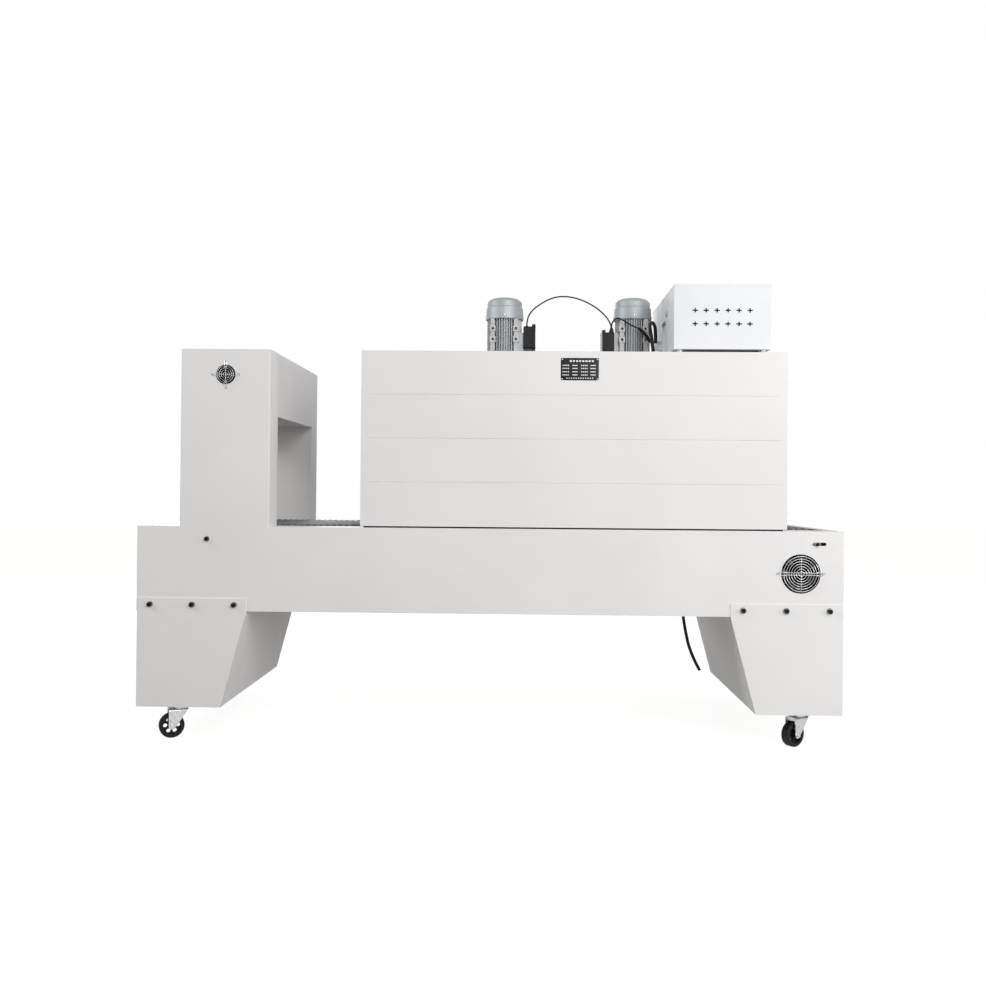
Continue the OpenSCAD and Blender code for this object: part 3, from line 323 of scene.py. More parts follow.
def zinc_plate(name, dark, light):
    """Zinc crystals, each with its own tone and gloss."""
    material, tree, bsdf, place = start_material(name, {"Metallic": 1})
    spangle = add_node(tree, "ShaderNodeTexVoronoi", {"Scale": per_mm(SPANGLE_MM)}, {"Vector": place})
    crystal = add_node(tree, "ShaderNodeSeparateColor", {}, {0: spangle.outputs["Color"]})
    tone = add_node(
        tree, "ShaderNodeMix", {"data_type": "RGBA", MIX_DARK: linear(dark), MIX_LIGHT: linear(light)},
        {0: crystal.outputs[0]},
    )
    tree.links.new(tone.outputs[MIX_RESULT], bsdf.inputs["Base Color"])
    gloss = add_node(tree, "ShaderNodeMapRange", {TO_LEAST: 0.22, TO_MOST: 0.38}, {0: crystal.outputs[1]})
    tree.links.new(gloss.outputs[0], bsdf.inputs["Roughness"])
    return material


zinc = zinc_plate("bright_zinc_plate", "#B3B4B5", "#C9CACA")
dull_zinc = zinc_plate("dull_zinc_plate", "#8B8C8C", "#A5A6A6")
guard_wire = zinc_plate("polished_guard_wire", "#ABACAC", "#C0C1C1")
print("zinc:", zinc.name, dull_zinc.name, guard_wire.name)

# %% [markdown]
# Cast, moulded and painted surfaces differ only in colour, gloss and grain, so all of them come from one
# function: clouds of two tones, a gloss that varies with them, and a fine grain as bump. A function for each
# would say the same thing many times.

# %% Grained surfaces
GLOSS_SPREAD = 0.15


def grained(name, dark, light, shader, roughness, cloud_mm, grain_mm, grain_depth):
    """A moulded, cast or painted surface: clouds of two tones, uneven gloss and a fine grain."""
    material, tree, bsdf, place = start_material(name, shader)
    clouds = add_node(tree, "ShaderNodeTexNoise", {"Scale": per_mm(cloud_mm), "Detail": 4}, {"Vector": place})
    cloud = clouds.outputs["Fac"]
    tone = add_node(
        tree, "ShaderNodeMix", {"data_type": "RGBA", MIX_DARK: linear(dark), MIX_LIGHT: linear(light)},
        {0: cloud},
    )
    tree.links.new(tone.outputs[MIX_RESULT], bsdf.inputs["Base Color"])
    least_rough, dullest = (1 - GLOSS_SPREAD) * roughness, (1 + GLOSS_SPREAD) * roughness
    gloss = add_node(tree, "ShaderNodeMapRange", {TO_LEAST: least_rough, TO_MOST: dullest}, {0: cloud})
    tree.links.new(gloss.outputs[0], bsdf.inputs["Roughness"])
    grain = add_node(tree, "ShaderNodeTexNoise", {"Scale": per_mm(grain_mm), "Detail": 3}, {"Vector": place})
    bump = add_node(
        tree, "ShaderNodeBump", {"Strength": grain_depth, "Distance": 0.0005},
        {"Height": grain.outputs["Fac"]},
    )
    tree.links.new(bump.outputs[0], bsdf.inputs["Normal"])
    return material


print("roughness varies by", GLOSS_SPREAD, "of itself on a grained surface")

# %% [markdown]
# The motors are die-cast aluminium under a thin silver paint, so they show a fine sandy grain. The cowls over
# their fans are pressed sheet in the same silver, but smoother. Plastics, rubber and blackened steel come out
# of moulds and baths with a fine, even grain. The black ones are nearly black, because the white room's
# reflection lifts them. Each line gives a name, the dark and the light tone, the shader's values, the
# roughness, the width of the clouds and of the grain in millimetres, and the grain's depth.

# %% Castings, cowls, plastics and rubber
ABS = {"IOR": 1.54, "Specular IOR Level": 0.2}
RUBBER = {"IOR": 1.52, "Specular IOR Level": 0.2}
ACRYLIC = {"IOR": 1.49}
MATT = {"IOR": 1.53, "Specular IOR Level": 0.05}
cast_aluminium = grained("die_cast_aluminium", "#919497", "#B4B7B9", {"Metallic": 0.5}, 0.5, 30, 1.6, 0.3)
cowl_silver = grained("pressed_silver_cowl", "#989DA1", "#ADB2B5", {"Metallic": 0.35}, 0.5, 60, 3, 0.08)
# The fans' near-black tone is partly their black nylon and partly painted shade for the shade behind the
# guards.
fan_nylon_and_painted_shade = grained("matt_fan_nylon_and_painted_shade", "#040404", "#0A0A0B", MATT, 0.75, 20, 1.5, 0.2)
black_plastic = grained("moulded_black_abs", "#0B0B0C", "#161618", ABS, 0.45, 25, 1.2, 0.2)
tread_rubber = grained("moulded_tread_rubber", "#0B0B0C", "#161617", RUBBER, 0.6, 14, 1.5, 0.25)
cable_sheath = grained("pvc_cable_sheath", "#0B0B0D", "#161619", RUBBER, 0.5, 40, 2, 0.1)
black_oxide = grained("black_oxide_steel", "#101010", "#242220", {"Metallic": 0.8}, 0.4, 6, 0.8, 0.1)
plate_black = grained("black_anodised_plate", "#08080A", "#101013", ABS, 0.45, 30, 1, 0.05)
plate_light = grained("bare_etched_aluminium", "#C9CACA", "#E2E3E3", {"Metallic": 0.2}, 0.45, 12, 0.8, 0.1)
stop_red = grained("moulded_red_button", "#A3121A", "#B91B22", ACRYLIC, 0.35, 12, 1, 0.05)
start_green = grained("moulded_green_button", "#157A38", "#1D8C45", ACRYLIC, 0.35, 12, 1, 0.05)
display_glass = grained("smoked_display_window", "#0A0A0C", "#121216", ACRYLIC, 0.12, 40, 3, 0.02)
for cable in cables:
    cable.data.materials.append(cable_sheath)
print("castings, plastics and rubber:", cast_aluminium.name, black_plastic.name, tread_rubber.name)

# %% [markdown]
# The record names a material slot for every node of the frame. Each slot gets one of the finishes above, put
# into the node's own material slots, so the frame's meshes stay as they are. The two fans are the one
# exception: they are matt nylon, and their near-black tone, darker than the other black plastics, is painted
# shade for the shade inside the fans' housings.

# %% Finish the frame
FINISH = {
    "white_powder_coat": warm_coat, "cabinet_white": cool_coat, "stainless_sheet": stainless,
    "roller_steel": roller_steel, "zinc_steel": zinc, "wheel_rubber": tread_rubber,
    "black_plastic": black_plastic, "cast_aluminium": cast_aluminium, "cowl_sheet": cowl_silver,
    "black_cable": cable_sheath,
}
for subpart in frame["record"]["subparts"]:
    machine_part = frame["nodes"][subpart["node"]]
    if not machine_part.material_slots:
        machine_part.data.materials.append(None)
    finish = fan_nylon_and_painted_shade if subpart["node"].endswith("_fan") else FINISH[subpart["material_slot"]]
    for material_slot in machine_part.material_slots:
        material_slot.material = finish

# %% [markdown]
# The studio is a white sweep. The floor only looks white to the camera and in reflections: there it glows,
# while for the soft light it is an ordinary grey floor that keeps the machine's shadow. More light on a white
# floor would look the same, but it would burn out the pale sheet metal.

# %% Floor
FLOOR_SIZE, FLOOR_GREY, FLOOR_GLOW = 60, "#8A8783", 0.9


def seen_directly(tree):
    """1 for rays that show the background: straight to the camera, or by a reflection."""
    path = add_node(tree, "ShaderNodeLightPath")
    first = add_node(
        tree, "ShaderNodeMath", {"operation": "MAXIMUM"},
        {0: path.outputs["Is Camera Ray"], 1: path.outputs["Is Glossy Ray"]},
    )
    both = add_node(
        tree, "ShaderNodeMath", {"operation": "MAXIMUM"},
        {0: first.outputs[0], 1: path.outputs["Is Transmission Ray"]},
    )
    return both.outputs[0]


def paint_floor(diffuse, glow):
    """A floor that is grey for the light and pale for the eye."""
    material = bpy.data.materials.new("pale_studio_floor")
    material.use_nodes = True
    tree = material.node_tree
    tree.nodes.remove(tree.nodes["Principled BSDF"])
    matt = add_node(tree, "ShaderNodeBsdfDiffuse", {"Color": linear(diffuse)})
    strength = add_node(
        tree, "ShaderNodeMath", {"operation": "MULTIPLY", 1: glow}, {0: seen_directly(tree)}
    )
    light = add_node(tree, "ShaderNodeEmission", {}, {"Strength": strength.outputs[0]})
    both = add_node(tree, "ShaderNodeAddShader", {}, {0: matt.outputs[0], 1: light.outputs[0]})
    tree.links.new(both.outputs[0], tree.nodes["Material Output"].inputs["Surface"])
    return material


deselect()
bpy.ops.mesh.primitive_plane_add(size=FLOOR_SIZE)
floor = bpy.context.object
floor.name = "studio_floor"
floor.data.materials.append(paint_floor(FLOOR_GREY, FLOOR_GLOW))
print("floor:", FLOOR_SIZE, "m square")

# %% [markdown]
# The world does the same as the floor: it is white for the eye, and dimmer for the light that it throws on
# the machine. That light comes from everywhere, so its level sets how deep the shadows are.

# %% World
AMBIENT = 0.38
scene.world = bpy.data.worlds.new("white_studio")
scene.world.use_nodes = True
world_tree = scene.world.node_tree
sky = world_tree.nodes["Background"]
sky.inputs["Color"].default_value = linear("#FFFFFF")
level = add_node(
    world_tree, "ShaderNodeMapRange", {TO_LEAST: AMBIENT, TO_MOST: 1}, {0: seen_directly(world_tree)}
)
world_tree.links.new(level.outputs[0], sky.inputs["Strength"])
print("light from all around:", AMBIENT)

# %% [markdown]
# One large lamp in front, to the right, gives the sheet metal its shape, so that sides turn darker than
# fronts. A weaker one on the left reaches the cabinet's side and the motors, and a small one far to the
# right grazes past the tunnel's corner and lights the front strip of the tower's side. One more lights the
# back. All are area lamps, because a point lamp would throw hard shadows.

# %% Lamps
def hang_lamp(name, place, aim, size, watts):
    """A soft square lamp that looks from its place at its aim."""
    place, aim = Vector(place), Vector(aim)
    bpy.ops.object.light_add(type="AREA", location=place)
    lamp = bpy.context.object
    lamp.name = name
    lamp.data.size = size
    lamp.data.energy = watts
    lamp.rotation_euler = (aim - place).to_track_quat("-Z", "Y").to_euler()
    print(name, watts, "W")


hang_lamp("front_softbox", place=(2.6, -5.2, 3.0), aim=(0.1, 0, 0.8), size=4, watts=226)
hang_lamp("left_softbox", place=(-4.4, -1.6, 3.6), aim=(0.9, -0.1, 1.6), size=2, watts=85)
hang_lamp("right_strip", place=(4.2, -1.9, 1.3), aim=(-0.8, -0.4, 1.0), size=0.8, watts=32)
hang_lamp("back_softbox", place=(-2.4, 5.8, 1.8), aim=(0, 0.4, 0.8), size=2.4, watts=85)

# %% [markdown]
# Small round parts, such as bolts, screws and knobs, are turned. A screw modifier could spin their profile,
# but by hand one would add a circle, fill it, and raise it ring by ring with extrude and scale, so that is
# what turn_up does. Six sides make a nut.

# %% Turned pieces
TURNED_SIDES = 32


def turn_up(rings, sides=TURNED_SIDES):
    """A round piece raised ring by ring: each ring is its radius and its height in metres."""
    deselect()
    radius, height = rings[0]
    bpy.ops.mesh.primitive_circle_add(vertices=sides, radius=radius, fill_type="NGON")
    bpy.ops.object.mode_set(mode="EDIT")
    bpy.ops.mesh.select_all(action="SELECT")
    bpy.ops.transform.translate(value=(0, 0, height))
    for wider, higher in rings[1:]:
        bpy.ops.mesh.extrude_region_move(TRANSFORM_OT_translate={"value": (0, 0, higher - height)})
        scale = wider / radius
        bpy.ops.transform.resize(value=(scale, scale, 1), center_override=(0, 0, higher))
        radius, height = wider, higher
    bpy.ops.mesh.select_all(action="SELECT")
    bpy.ops.mesh.normals_make_consistent(inside=False)
    bpy.ops.object.mode_set(mode="OBJECT")
    return bpy.context.object


print("turned pieces have", TURNED_SIDES, "sides")

# %% [markdown]
# Every piece is modelled at the origin with its face up, then copied to its places with a turn for the side
# of the machine that it looks from. Copies that share a mesh would be lighter, but each piece has its place
# in its own mesh, as the frame's nodes have, so the copies are joined and their place is applied.

# %% Copying and joining
QUARTER = math.pi / 2
FACING = {
    "front": (QUARTER, 0, 0), "right": (QUARTER, 0, QUARTER), "back": (QUARTER, 0, math.pi),
    "left": (QUARTER, 0, -QUARTER), "up": (0, 0, 0), "down": (math.pi, 0, 0),
}


def take(piece):
    """Selects one piece alone and makes it active."""
    deselect()
    piece.select_set(True)
    bpy.context.view_layer.objects.active = piece


def join(pieces):
    """One object made of several."""
    take(pieces[0])
    for piece in pieces:
        piece.select_set(True)
    bpy.ops.object.join()
    return bpy.context.object


def repeat(model, places):
    """Copies a model to each place and facing, and joins the copies into one object."""
    copies = []
    for place, side in places:
        take(model)
        bpy.ops.object.duplicate()
        copies.append(bpy.context.object)
        copies[-1].location = place
        copies[-1].rotation_euler = FACING[side]
    bpy.data.objects.remove(model)
    return join(copies)


print("a piece can look to:", ", ".join(FACING))

# %% [markdown]
# Sockets and slots are cut by a Boolean modifier, which is applied at once and its cutter removed; insets and
# extrudes would need more steps for the same hole. A finished piece is then settled: it gets its name, its
# finish and smooth shading, and its place goes into its mesh.

# %% Cutting and settling
SMOOTH_BELOW = math.radians(35)


def cut_out(piece, cutter):
    """Takes the cutter's shape out of the piece."""
    take(piece)
    cut = piece.modifiers.new("cut", "BOOLEAN")
    cut.operation = "DIFFERENCE"
    cut.solver = "EXACT"
    cut.object = cutter
    bpy.ops.object.modifier_apply(modifier=cut.name)
    bpy.data.objects.remove(cutter)
    return piece


def settle(piece, name, finish):
    """Names a piece, puts its place into its mesh, gives it its finish and lets the machine carry it."""
    take(piece)
    bpy.ops.object.transform_apply(location=True, rotation=True, scale=True)
    bpy.ops.object.shade_smooth_by_angle(angle=SMOOTH_BELOW)
    piece.name = piece.data.name = name
    piece.data.materials.clear()
    piece.data.materials.append(finish)
    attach(piece, "machine")
    print(name, "has", len(piece.data.polygons), "faces")


print("edges are smooth below", round(math.degrees(SMOOTH_BELOW)), "degrees")

# %% [markdown]
# Flat parts start as a cube of their size. Its four standing edges are bevelled to round the corners, and the
# front edge may be softened too. A bevel modifier would take every edge alike, so the edges are picked by
# their place, as one would click them by hand.

# %% Slabs
CORNER_STEPS, EDGE_STEPS = 5, 2


def select_edges(piece, test):
    """Edit mode on the piece, with only those edges selected whose two ends pass the test."""
    take(piece)
    bpy.context.tool_settings.mesh_select_mode = (False, True, False)
    bpy.ops.object.mode_set(mode="EDIT")
    bpy.ops.mesh.select_all(action="DESELECT")
    bpy.ops.object.mode_set(mode="OBJECT")
    corners = piece.data.vertices
    for edge in piece.data.edges:
        edge.select = test(corners[edge.vertices[0]].co, corners[edge.vertices[1]].co)
    bpy.ops.object.mode_set(mode="EDIT")


def rounded_slab(width, height, thick, corner, edge=0):
    """A slab with round corners and perhaps a softened front edge; its back is at the origin."""
    deselect()
    bpy.ops.mesh.primitive_cube_add(size=1, location=(0, 0, thick / 2))
    slab = bpy.context.object
    slab.scale = (width, height, thick)
    bpy.ops.object.transform_apply(location=True, rotation=True, scale=True)
    select_edges(slab, lambda a, b: abs(a.z - b.z) > thick / 2)
    bpy.ops.mesh.bevel(offset=corner, segments=CORNER_STEPS, affect="EDGES")
    if edge:
        select_edges(slab, lambda a, b: min(a.z, b.z) > thick * 0.99)
        bpy.ops.mesh.bevel(offset=edge, segments=EDGE_STEPS, affect="EDGES")
    bpy.ops.object.mode_set(mode="OBJECT")
    return slab


print("a round corner has", CORNER_STEPS, "steps, a soft edge", EDGE_STEPS)

# %% [markdown]
# Each leg hangs on the bed by three bolts at the front and three at the back. They are black socket-head
# bolts on dull washers. A dark dot in the material would do from far off, but not from close by, so the
# socket is a hexagon cut out of the turned head.

# %% Leg bolts
def socket_bolt(head_r, head_h, socket_r):
    """A socket-head bolt whose seat is at the origin."""
    edge = 0.12 * head_r
    head = turn_up([(head_r, 0), (head_r, head_h - edge), (head_r - edge, head_h)])
    socket = turn_up([(socket_r, 0.4 * head_h), (socket_r, 1.2 * head_h)], sides=6)
    return cut_out(head, socket)


def washer(outer_r, thick):
    """A flat washer with broken edges."""
    edge = 0.3 * thick
    return turn_up([(outer_r - edge, 0), (outer_r, edge), (outer_r, thick - edge), (outer_r - edge, thick)])


LEG_BOLT_ALONG = (0.049, 0.209, 0.3685)
LEG_BOLT_Z = 0.514
LEG_HEAD_R, LEG_HEAD_H, LEG_SOCKET_R = 0.0085, 0.010, 0.005
LEG_WASHER_R, WASHER_T = 0.0125, 0.0025
OUT = {"front": -WASHER_T, "back": WASHER_T}
left_leg_low, left_leg_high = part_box("left_leg")
right_leg_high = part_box("right_leg")[1]
bolt_x = [left_leg_low.x + along for along in LEG_BOLT_ALONG]
bolt_x += [right_leg_high.x - along for along in LEG_BOLT_ALONG]
washer_places = [((x, left_leg_low.y, LEG_BOLT_Z), "front") for x in bolt_x]
washer_places += [((x, left_leg_high.y, LEG_BOLT_Z), "back") for x in bolt_x]
bolt_places = [((x, y + OUT[side], z), side) for (x, y, z), side in washer_places]
leg_bolt = socket_bolt(LEG_HEAD_R, LEG_HEAD_H, LEG_SOCKET_R)
settle(repeat(washer(LEG_WASHER_R, WASHER_T), washer_places), "leg_washers", dull_zinc)
settle(repeat(leg_bolt, bolt_places), "leg_bolts", black_oxide)

# %% [markdown]
# The drive shaft's bearing is held by one bolt through the side, and the tail shaft's by a smaller one that
# slides in the adjusting slot. They are made like the leg bolts, a size each. Their places could be typed in,
# but they are taken from the frame's shafts, so bolt and shaft stay in line.

# %% Shaft bolts
def middle(node):
    """The middle of a node's box."""
    low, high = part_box(node)
    return (low + high) / 2


SHAFT_FASTENERS = {"drive_shaft": (0.0112, 0.0080, 0.0045), "tail_shaft": (0.0078, 0.0065, 0.0035)}
SHAFT_HEAD_H = 0.008
panel_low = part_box("front_side_panel")[0]
back_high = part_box("back_side_panel")[1]
shaft_washers, shaft_bolts = [], []
for shaft, (washer_r, head_r, socket_r) in SHAFT_FASTENERS.items():
    spot = middle(shaft)
    seats = [((spot.x, panel_low.y, spot.z), "front"), ((spot.x, back_high.y, spot.z), "back")]
    on_washers = [((x, y + OUT[side], z), side) for (x, y, z), side in seats]
    shaft_washers.append(repeat(washer(washer_r, WASHER_T), seats))
    shaft_bolts.append(repeat(socket_bolt(head_r, SHAFT_HEAD_H, socket_r), on_washers))
settle(join(shaft_washers), "shaft_washers", dull_zinc)
settle(join(shaft_bolts), "shaft_bolts", black_oxide)

# %% [markdown]
# Both fans are covered by wire guards: rings of round wire welded to straight bars, which end in loops for
# the screws. A wireframe modifier on a disc would give the rings flat corners, so a guard is drawn in curves,
# the way a wire bender works, with the wire's section as the bevel. The curves are then made a mesh.

# %% Guard wires
WIRE_SMOOTHNESS = 2


def draw_wire(wire):
    """Makes a bent wire a mesh at the origin."""
    take(wire)
    bpy.ops.object.convert(target="MESH")
    bpy.ops.object.transform_apply(location=True, rotation=True, scale=True)
    return wire


def wire_ring(radius, height, wire_d):
    """A closed ring of wire."""
    deselect()
    bpy.ops.curve.primitive_bezier_circle_add(radius=radius, location=(0, 0, height))
    ring = bpy.context.object
    ring.data.bevel_depth = wire_d / 2
    ring.data.bevel_resolution = WIRE_SMOOTHNESS
    return draw_wire(ring)


def wire_loop(reach, tip, half_w, stand, angle, wire_d):
    """A pointed loop that leaves the guard's rim and comes down to the panel."""
    low = wire_d / 2
    shoulder = 0.5 * (reach + tip)
    outline = [
        (reach, half_w, stand), (shoulder, half_w, 0.6 * stand), (tip - half_w, 0.8 * half_w, low),
        (tip, 0, low), (tip - half_w, -0.8 * half_w, low), (shoulder, -half_w, 0.6 * stand),
        (reach, -half_w, stand),
    ]
    turn = Matrix.Rotation(angle, 3, "Z")
    return draw_wire(bend([turn @ Vector(point) for point in outline], wire_d, WIRE_SMOOTHNESS))


print("smoothness of the wire's round section:", WIRE_SMOOTHNESS)

# %% [markdown]
# The bed's guard has seven rings, a pair of bars across, one upright bar and two loops. The tower's is
# smaller, with four rings, two crossed bars and four loops. Each is joined from its wires and hung where the
# frame's plain guard is, which it stands for.

# %% Bed and tower guards
def wire_guard(rings, rim_r, wire_d, stand, bars, loops):
    """Rings on bars, with a loop at each angle; a bar is its angle, its offset and its half length."""
    step = rim_r / rings
    wires = [wire_ring(step * (k + 1), stand, wire_d) for k in range(rings)]
    for angle, offset, half in bars:
        turn = Matrix.Rotation(angle, 3, "Z")
        ends = [turn @ Vector((end, offset, stand - wire_d)) for end in (-half, half)]
        wires.append(draw_wire(bend(ends, wire_d, WIRE_SMOOTHNESS)))
    for angle, tip, half_w in loops:
        wires.append(wire_loop(rim_r - step, tip, half_w, stand - wire_d, angle, wire_d))
    return join(wires)


def hang_guard(guard, name, node):
    """Puts a guard where the frame's plain one is."""
    spot = middle(node)
    guard.location = (spot.x, panel_low.y, spot.z)
    guard.rotation_euler = FACING["front"]
    settle(guard, name, guard_wire)
    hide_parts(node)


BED_RINGS, BED_RIM_R, BED_WIRE_D, BED_STAND = 7, 0.0655, 0.0023, 0.007
BED_PAIR, BED_LOOP_TIP, BED_LOOP_HALF = 0.0042, 0.090, 0.006
TOWER_RINGS, TOWER_RIM_R, TOWER_WIRE_D, TOWER_STAND = 4, 0.0310, 0.0015, 0.006
TOWER_LOOP_TIP, TOWER_LOOP_HALF = 0.055, 0.0045
bed_guard = wire_guard(
    BED_RINGS, BED_RIM_R, BED_WIRE_D, BED_STAND,
    bars=[(0, BED_PAIR, BED_RIM_R), (0, -BED_PAIR, BED_RIM_R), (QUARTER, 0, BED_RIM_R)],
    loops=[(0, BED_LOOP_TIP, BED_LOOP_HALF), (math.pi, BED_LOOP_TIP, BED_LOOP_HALF)],
)
hang_guard(bed_guard, "bed_wire_guard", "bed_fan_guard")
tower_guard = wire_guard(
    TOWER_RINGS, TOWER_RIM_R, TOWER_WIRE_D, TOWER_STAND,
    bars=[(0, 0, TOWER_RIM_R), (QUARTER, 0, TOWER_RIM_R)],
    loops=[(k * QUARTER, TOWER_LOOP_TIP, TOWER_LOOP_HALF) for k in range(4)],
)
hang_guard(tower_guard, "tower_wire_guard", "tower_fan_guard")

# %% [markdown]
# A pan-head screw holds each loop, and the same screw, in other sizes, holds the terminal boxes' lids, the
# cowls and the cabinet's lid. Half a sphere would stand too high for a pan head, so its dome is turned from
# four rings. Its cross slot is cut out by two crossed bars.

# %% Guard screws
SCREW_SIDES = 20
PAN_DOME = [(1, 0), (1, 0.3), (0.86, 0.52), (0.5, 0.64)]  # rings, as shares of the head's radius
CROSS_SLOT = (1.1, 0.2, 0.5, 0.6)  # length, width, depth and lift of a slot's bar, in the same shares


def bar(length, width, height, lift, turn=0):
    """A plain bar for cutting slots."""
    deselect()
    bpy.ops.mesh.primitive_cube_add(size=1, location=(0, 0, lift), rotation=(0, 0, turn))
    cutter = bpy.context.object
    cutter.scale = (length, width, height)
    bpy.ops.object.transform_apply(location=True, rotation=True, scale=True)
    return cutter


def pan_screw(head_r):
    """A domed screw head with a cross slot, seat at the origin."""
    head = turn_up([(wide * head_r, high * head_r) for wide, high in PAN_DOME], SCREW_SIDES)
    for turn in (0, QUARTER):
        cut_out(head, bar(*(share * head_r for share in CROSS_SLOT), turn))
    return head


BED_EYE, BED_SCREW_R = 0.081, 0.0042
TOWER_EYE, TOWER_SCREW_R = 0.0506, 0.0032
guard_screws = [
    (middle("bed_fan_guard") + Vector((side * BED_EYE, 0, 0)), BED_SCREW_R) for side in (-1, 1)
]
for k in range(4):
    eye = TOWER_EYE * Vector((math.cos(k * QUARTER), 0, math.sin(k * QUARTER)))
    guard_screws.append((middle("tower_fan_guard") + eye, TOWER_SCREW_R))
for number, (spot, head_r) in enumerate(guard_screws):
    guard_place = ((spot.x, panel_low.y, spot.z), "front")
    settle(repeat(pan_screw(head_r), [guard_place]), f"guard_screw_{number + 1}", dull_zinc)

# %% [markdown]
# The terminal boxes' lids have a screw in each corner, and a rubber gasket shows as a line between box and
# lid. A dark line could be painted there, but a gasket stands proud, so it is a slab with round corners, a
# little wider than the box. On the right box the glands stand higher than the lid, so the lid's top is the
# box's top less that height.

# %% Terminal boxes
LID_DEPTH = 0.014
LID_SCREW_IN, LID_SCREW_R = 0.011, 0.004
GASKET_T, GASKET_PROUD, GASKET_CORNER = 0.0016, 0.0006, 0.008
GLAND_RISE = {"left_terminal_box": 0, "right_terminal_box": 0.011}
for side, node in (("right", "left_terminal_box"), ("left", "right_terminal_box")):
    box_low, box_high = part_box(node)
    lid_top = box_high.z - GLAND_RISE[node]
    face_x = box_high.x if side == "right" else box_low.x
    seam_x = face_x - LID_DEPTH if side == "right" else face_x + LID_DEPTH
    corners = [
        ((face_x, y, z), side)
        for y in (box_low.y + LID_SCREW_IN, box_high.y - LID_SCREW_IN)
        for z in (box_low.z + LID_SCREW_IN, lid_top - LID_SCREW_IN)
    ]
    settle(repeat(pan_screw(LID_SCREW_R), corners), node + "_screws", zinc)
    gasket_w = box_high.y - box_low.y + GASKET_PROUD
    gasket_h = lid_top - box_low.z + GASKET_PROUD
    gasket = rounded_slab(gasket_w, gasket_h, GASKET_T, GASKET_CORNER)
    gasket_place = (seam_x, (box_low.y + box_high.y) / 2, (box_low.z + lid_top) / 2)
    settle(repeat(gasket, [(gasket_place, side)]), node + "_gasket", tread_rubber)

# %% [markdown]
# Four hexagon bolts hold each motor's flange to the roof, and four screws hold its cowl. A hexagon head could
# be a plain prism, but a real one is chamfered, so it is turned with six sides and a narrower top ring.

# %% Motor fasteners
def hex_head(across, high):
    """A hexagon head with a chamfered top."""
    corner_r = across / math.sqrt(3)
    return turn_up([(corner_r, 0), (corner_r, 0.8 * high), (0.88 * corner_r, high)], sides=6)


FLANGE_BOLT_R, FLANGE_H = 0.084, 0.012
HEX_ACROSS, HEX_HEAD_H = 0.013, 0.0055
COWL_SCREW_OUT, COWL_SCREW_UP, COWL_SCREW_R = 0.0782, 0.012, 0.0045
AROUND = {"front": (0, -1), "back": (0, 1), "left": (-1, 0), "right": (1, 0)}
DIAGONALS = [math.pi / 4 + k * QUARTER for k in range(4)]
for name in ("left_motor", "right_motor"):
    flange_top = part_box(name)[0].z + FLANGE_H
    cowl_screw_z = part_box(name + "_cowl")[0].z + COWL_SCREW_UP
    axis = middle(name + "_cowl")
    bolts = [
        ((axis.x + FLANGE_BOLT_R * math.cos(a), axis.y + FLANGE_BOLT_R * math.sin(a), flange_top), "up")
        for a in DIAGONALS
    ]
    settle(repeat(hex_head(HEX_ACROSS, HEX_HEAD_H), bolts), name + "_flange_bolts", zinc)
    cowl_screws = [
        ((axis.x + COWL_SCREW_OUT * dx, axis.y + COWL_SCREW_OUT * dy, cowl_screw_z), side)
        for side, (dx, dy) in AROUND.items()
    ]
    settle(repeat(pan_screw(COWL_SCREW_R), cowl_screws), name + "_cowl_screws", zinc)

# %% [markdown]
# Under each leg, four nuts hold the caster's plate. The plate doesn't turn with the fork, so they ride on the
# machine and sit clear of the fork that swivels below them. They are the motors' hexagon heads, half a
# millimetre higher.

# %% Caster nuts
CASTER_NUT_OUT, NUT_H = 0.031, 0.006
PLATE_T, PLATE_HALF = 0.004, 0.042
plates_low, plates_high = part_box("caster_plates")
nut_places = [
    ((x + dx, y + dy, plates_high.z - PLATE_T), "down")
    for x in (plates_low.x + PLATE_HALF, plates_high.x - PLATE_HALF)
    for y in (plates_low.y + PLATE_HALF, plates_high.y - PLATE_HALF)
    for dx in (-CASTER_NUT_OUT, CASTER_NUT_OUT)
    for dy in (-CASTER_NUT_OUT, CASTER_NUT_OUT)
]
settle(repeat(hex_head(HEX_ACROSS, NUT_H), nut_places), "caster_nuts", zinc)

# %% [markdown]
# A rating plate sits high on the tunnel's front. Here it is a blank form on black anodised sheet. A flat
# plane would lie in the panel, so it is a slab with round corners and a fine broken edge, which catches the
# light as a stamped plate does.

# %% Rating plate
PLATE_X, PLATE_Z = (0.270, 0.412), (1.369, 1.453)
PLATE_THICK, PLATE_CORNER, PLATE_EDGE = 0.0012, 0.005, 0.0003
plate_w, plate_h = PLATE_X[1] - PLATE_X[0], PLATE_Z[1] - PLATE_Z[0]
plate_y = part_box("tunnel_front_panel")[0].y
plate_mid = Vector((sum(PLATE_X) / 2, plate_y, sum(PLATE_Z) / 2))
plate = rounded_slab(plate_w, plate_h, PLATE_THICK, PLATE_CORNER, PLATE_EDGE)
settle(repeat(plate, [(plate_mid, "front")]), "rating_plate", plate_black)

# %% [markdown]
# Rows of bare dashes and bars stand where the plate's entries would be. They could be drawn by the material,
# but thin slabs keep their edges at any distance. Each size is modelled once and copied along its rows, whose
# places are shares of the plate's width and height.

# %% Rating plate fields
PRINT_T = 0.0003
TITLE_DASH, LABEL_DASH, ENTRY_BAR = (0.0078, 0.0062), (0.0042, 0.0042), (0.0200, 0.0030)
TITLE_CORNER, LABEL_CORNER = 0.0012, 0.0008
FIELD_ROWS, LABEL_STARTS, ENTRY_MIDDLES = (0.336, 0.47, 0.62, 0.76), (0.06, 0.55), (0.37, 0.85)


def on_plate(across, down):
    """A place on the plate's face, as shares of its width and height from its top left corner."""
    return ((PLATE_X[0] + across * plate_w, plate_y - PLATE_THICK, PLATE_Z[1] - down * plate_h), "front")


def row(start, step, count, down):
    """Places at even steps across the plate."""
    return [on_plate(start + step * k, down) for k in range(count)]


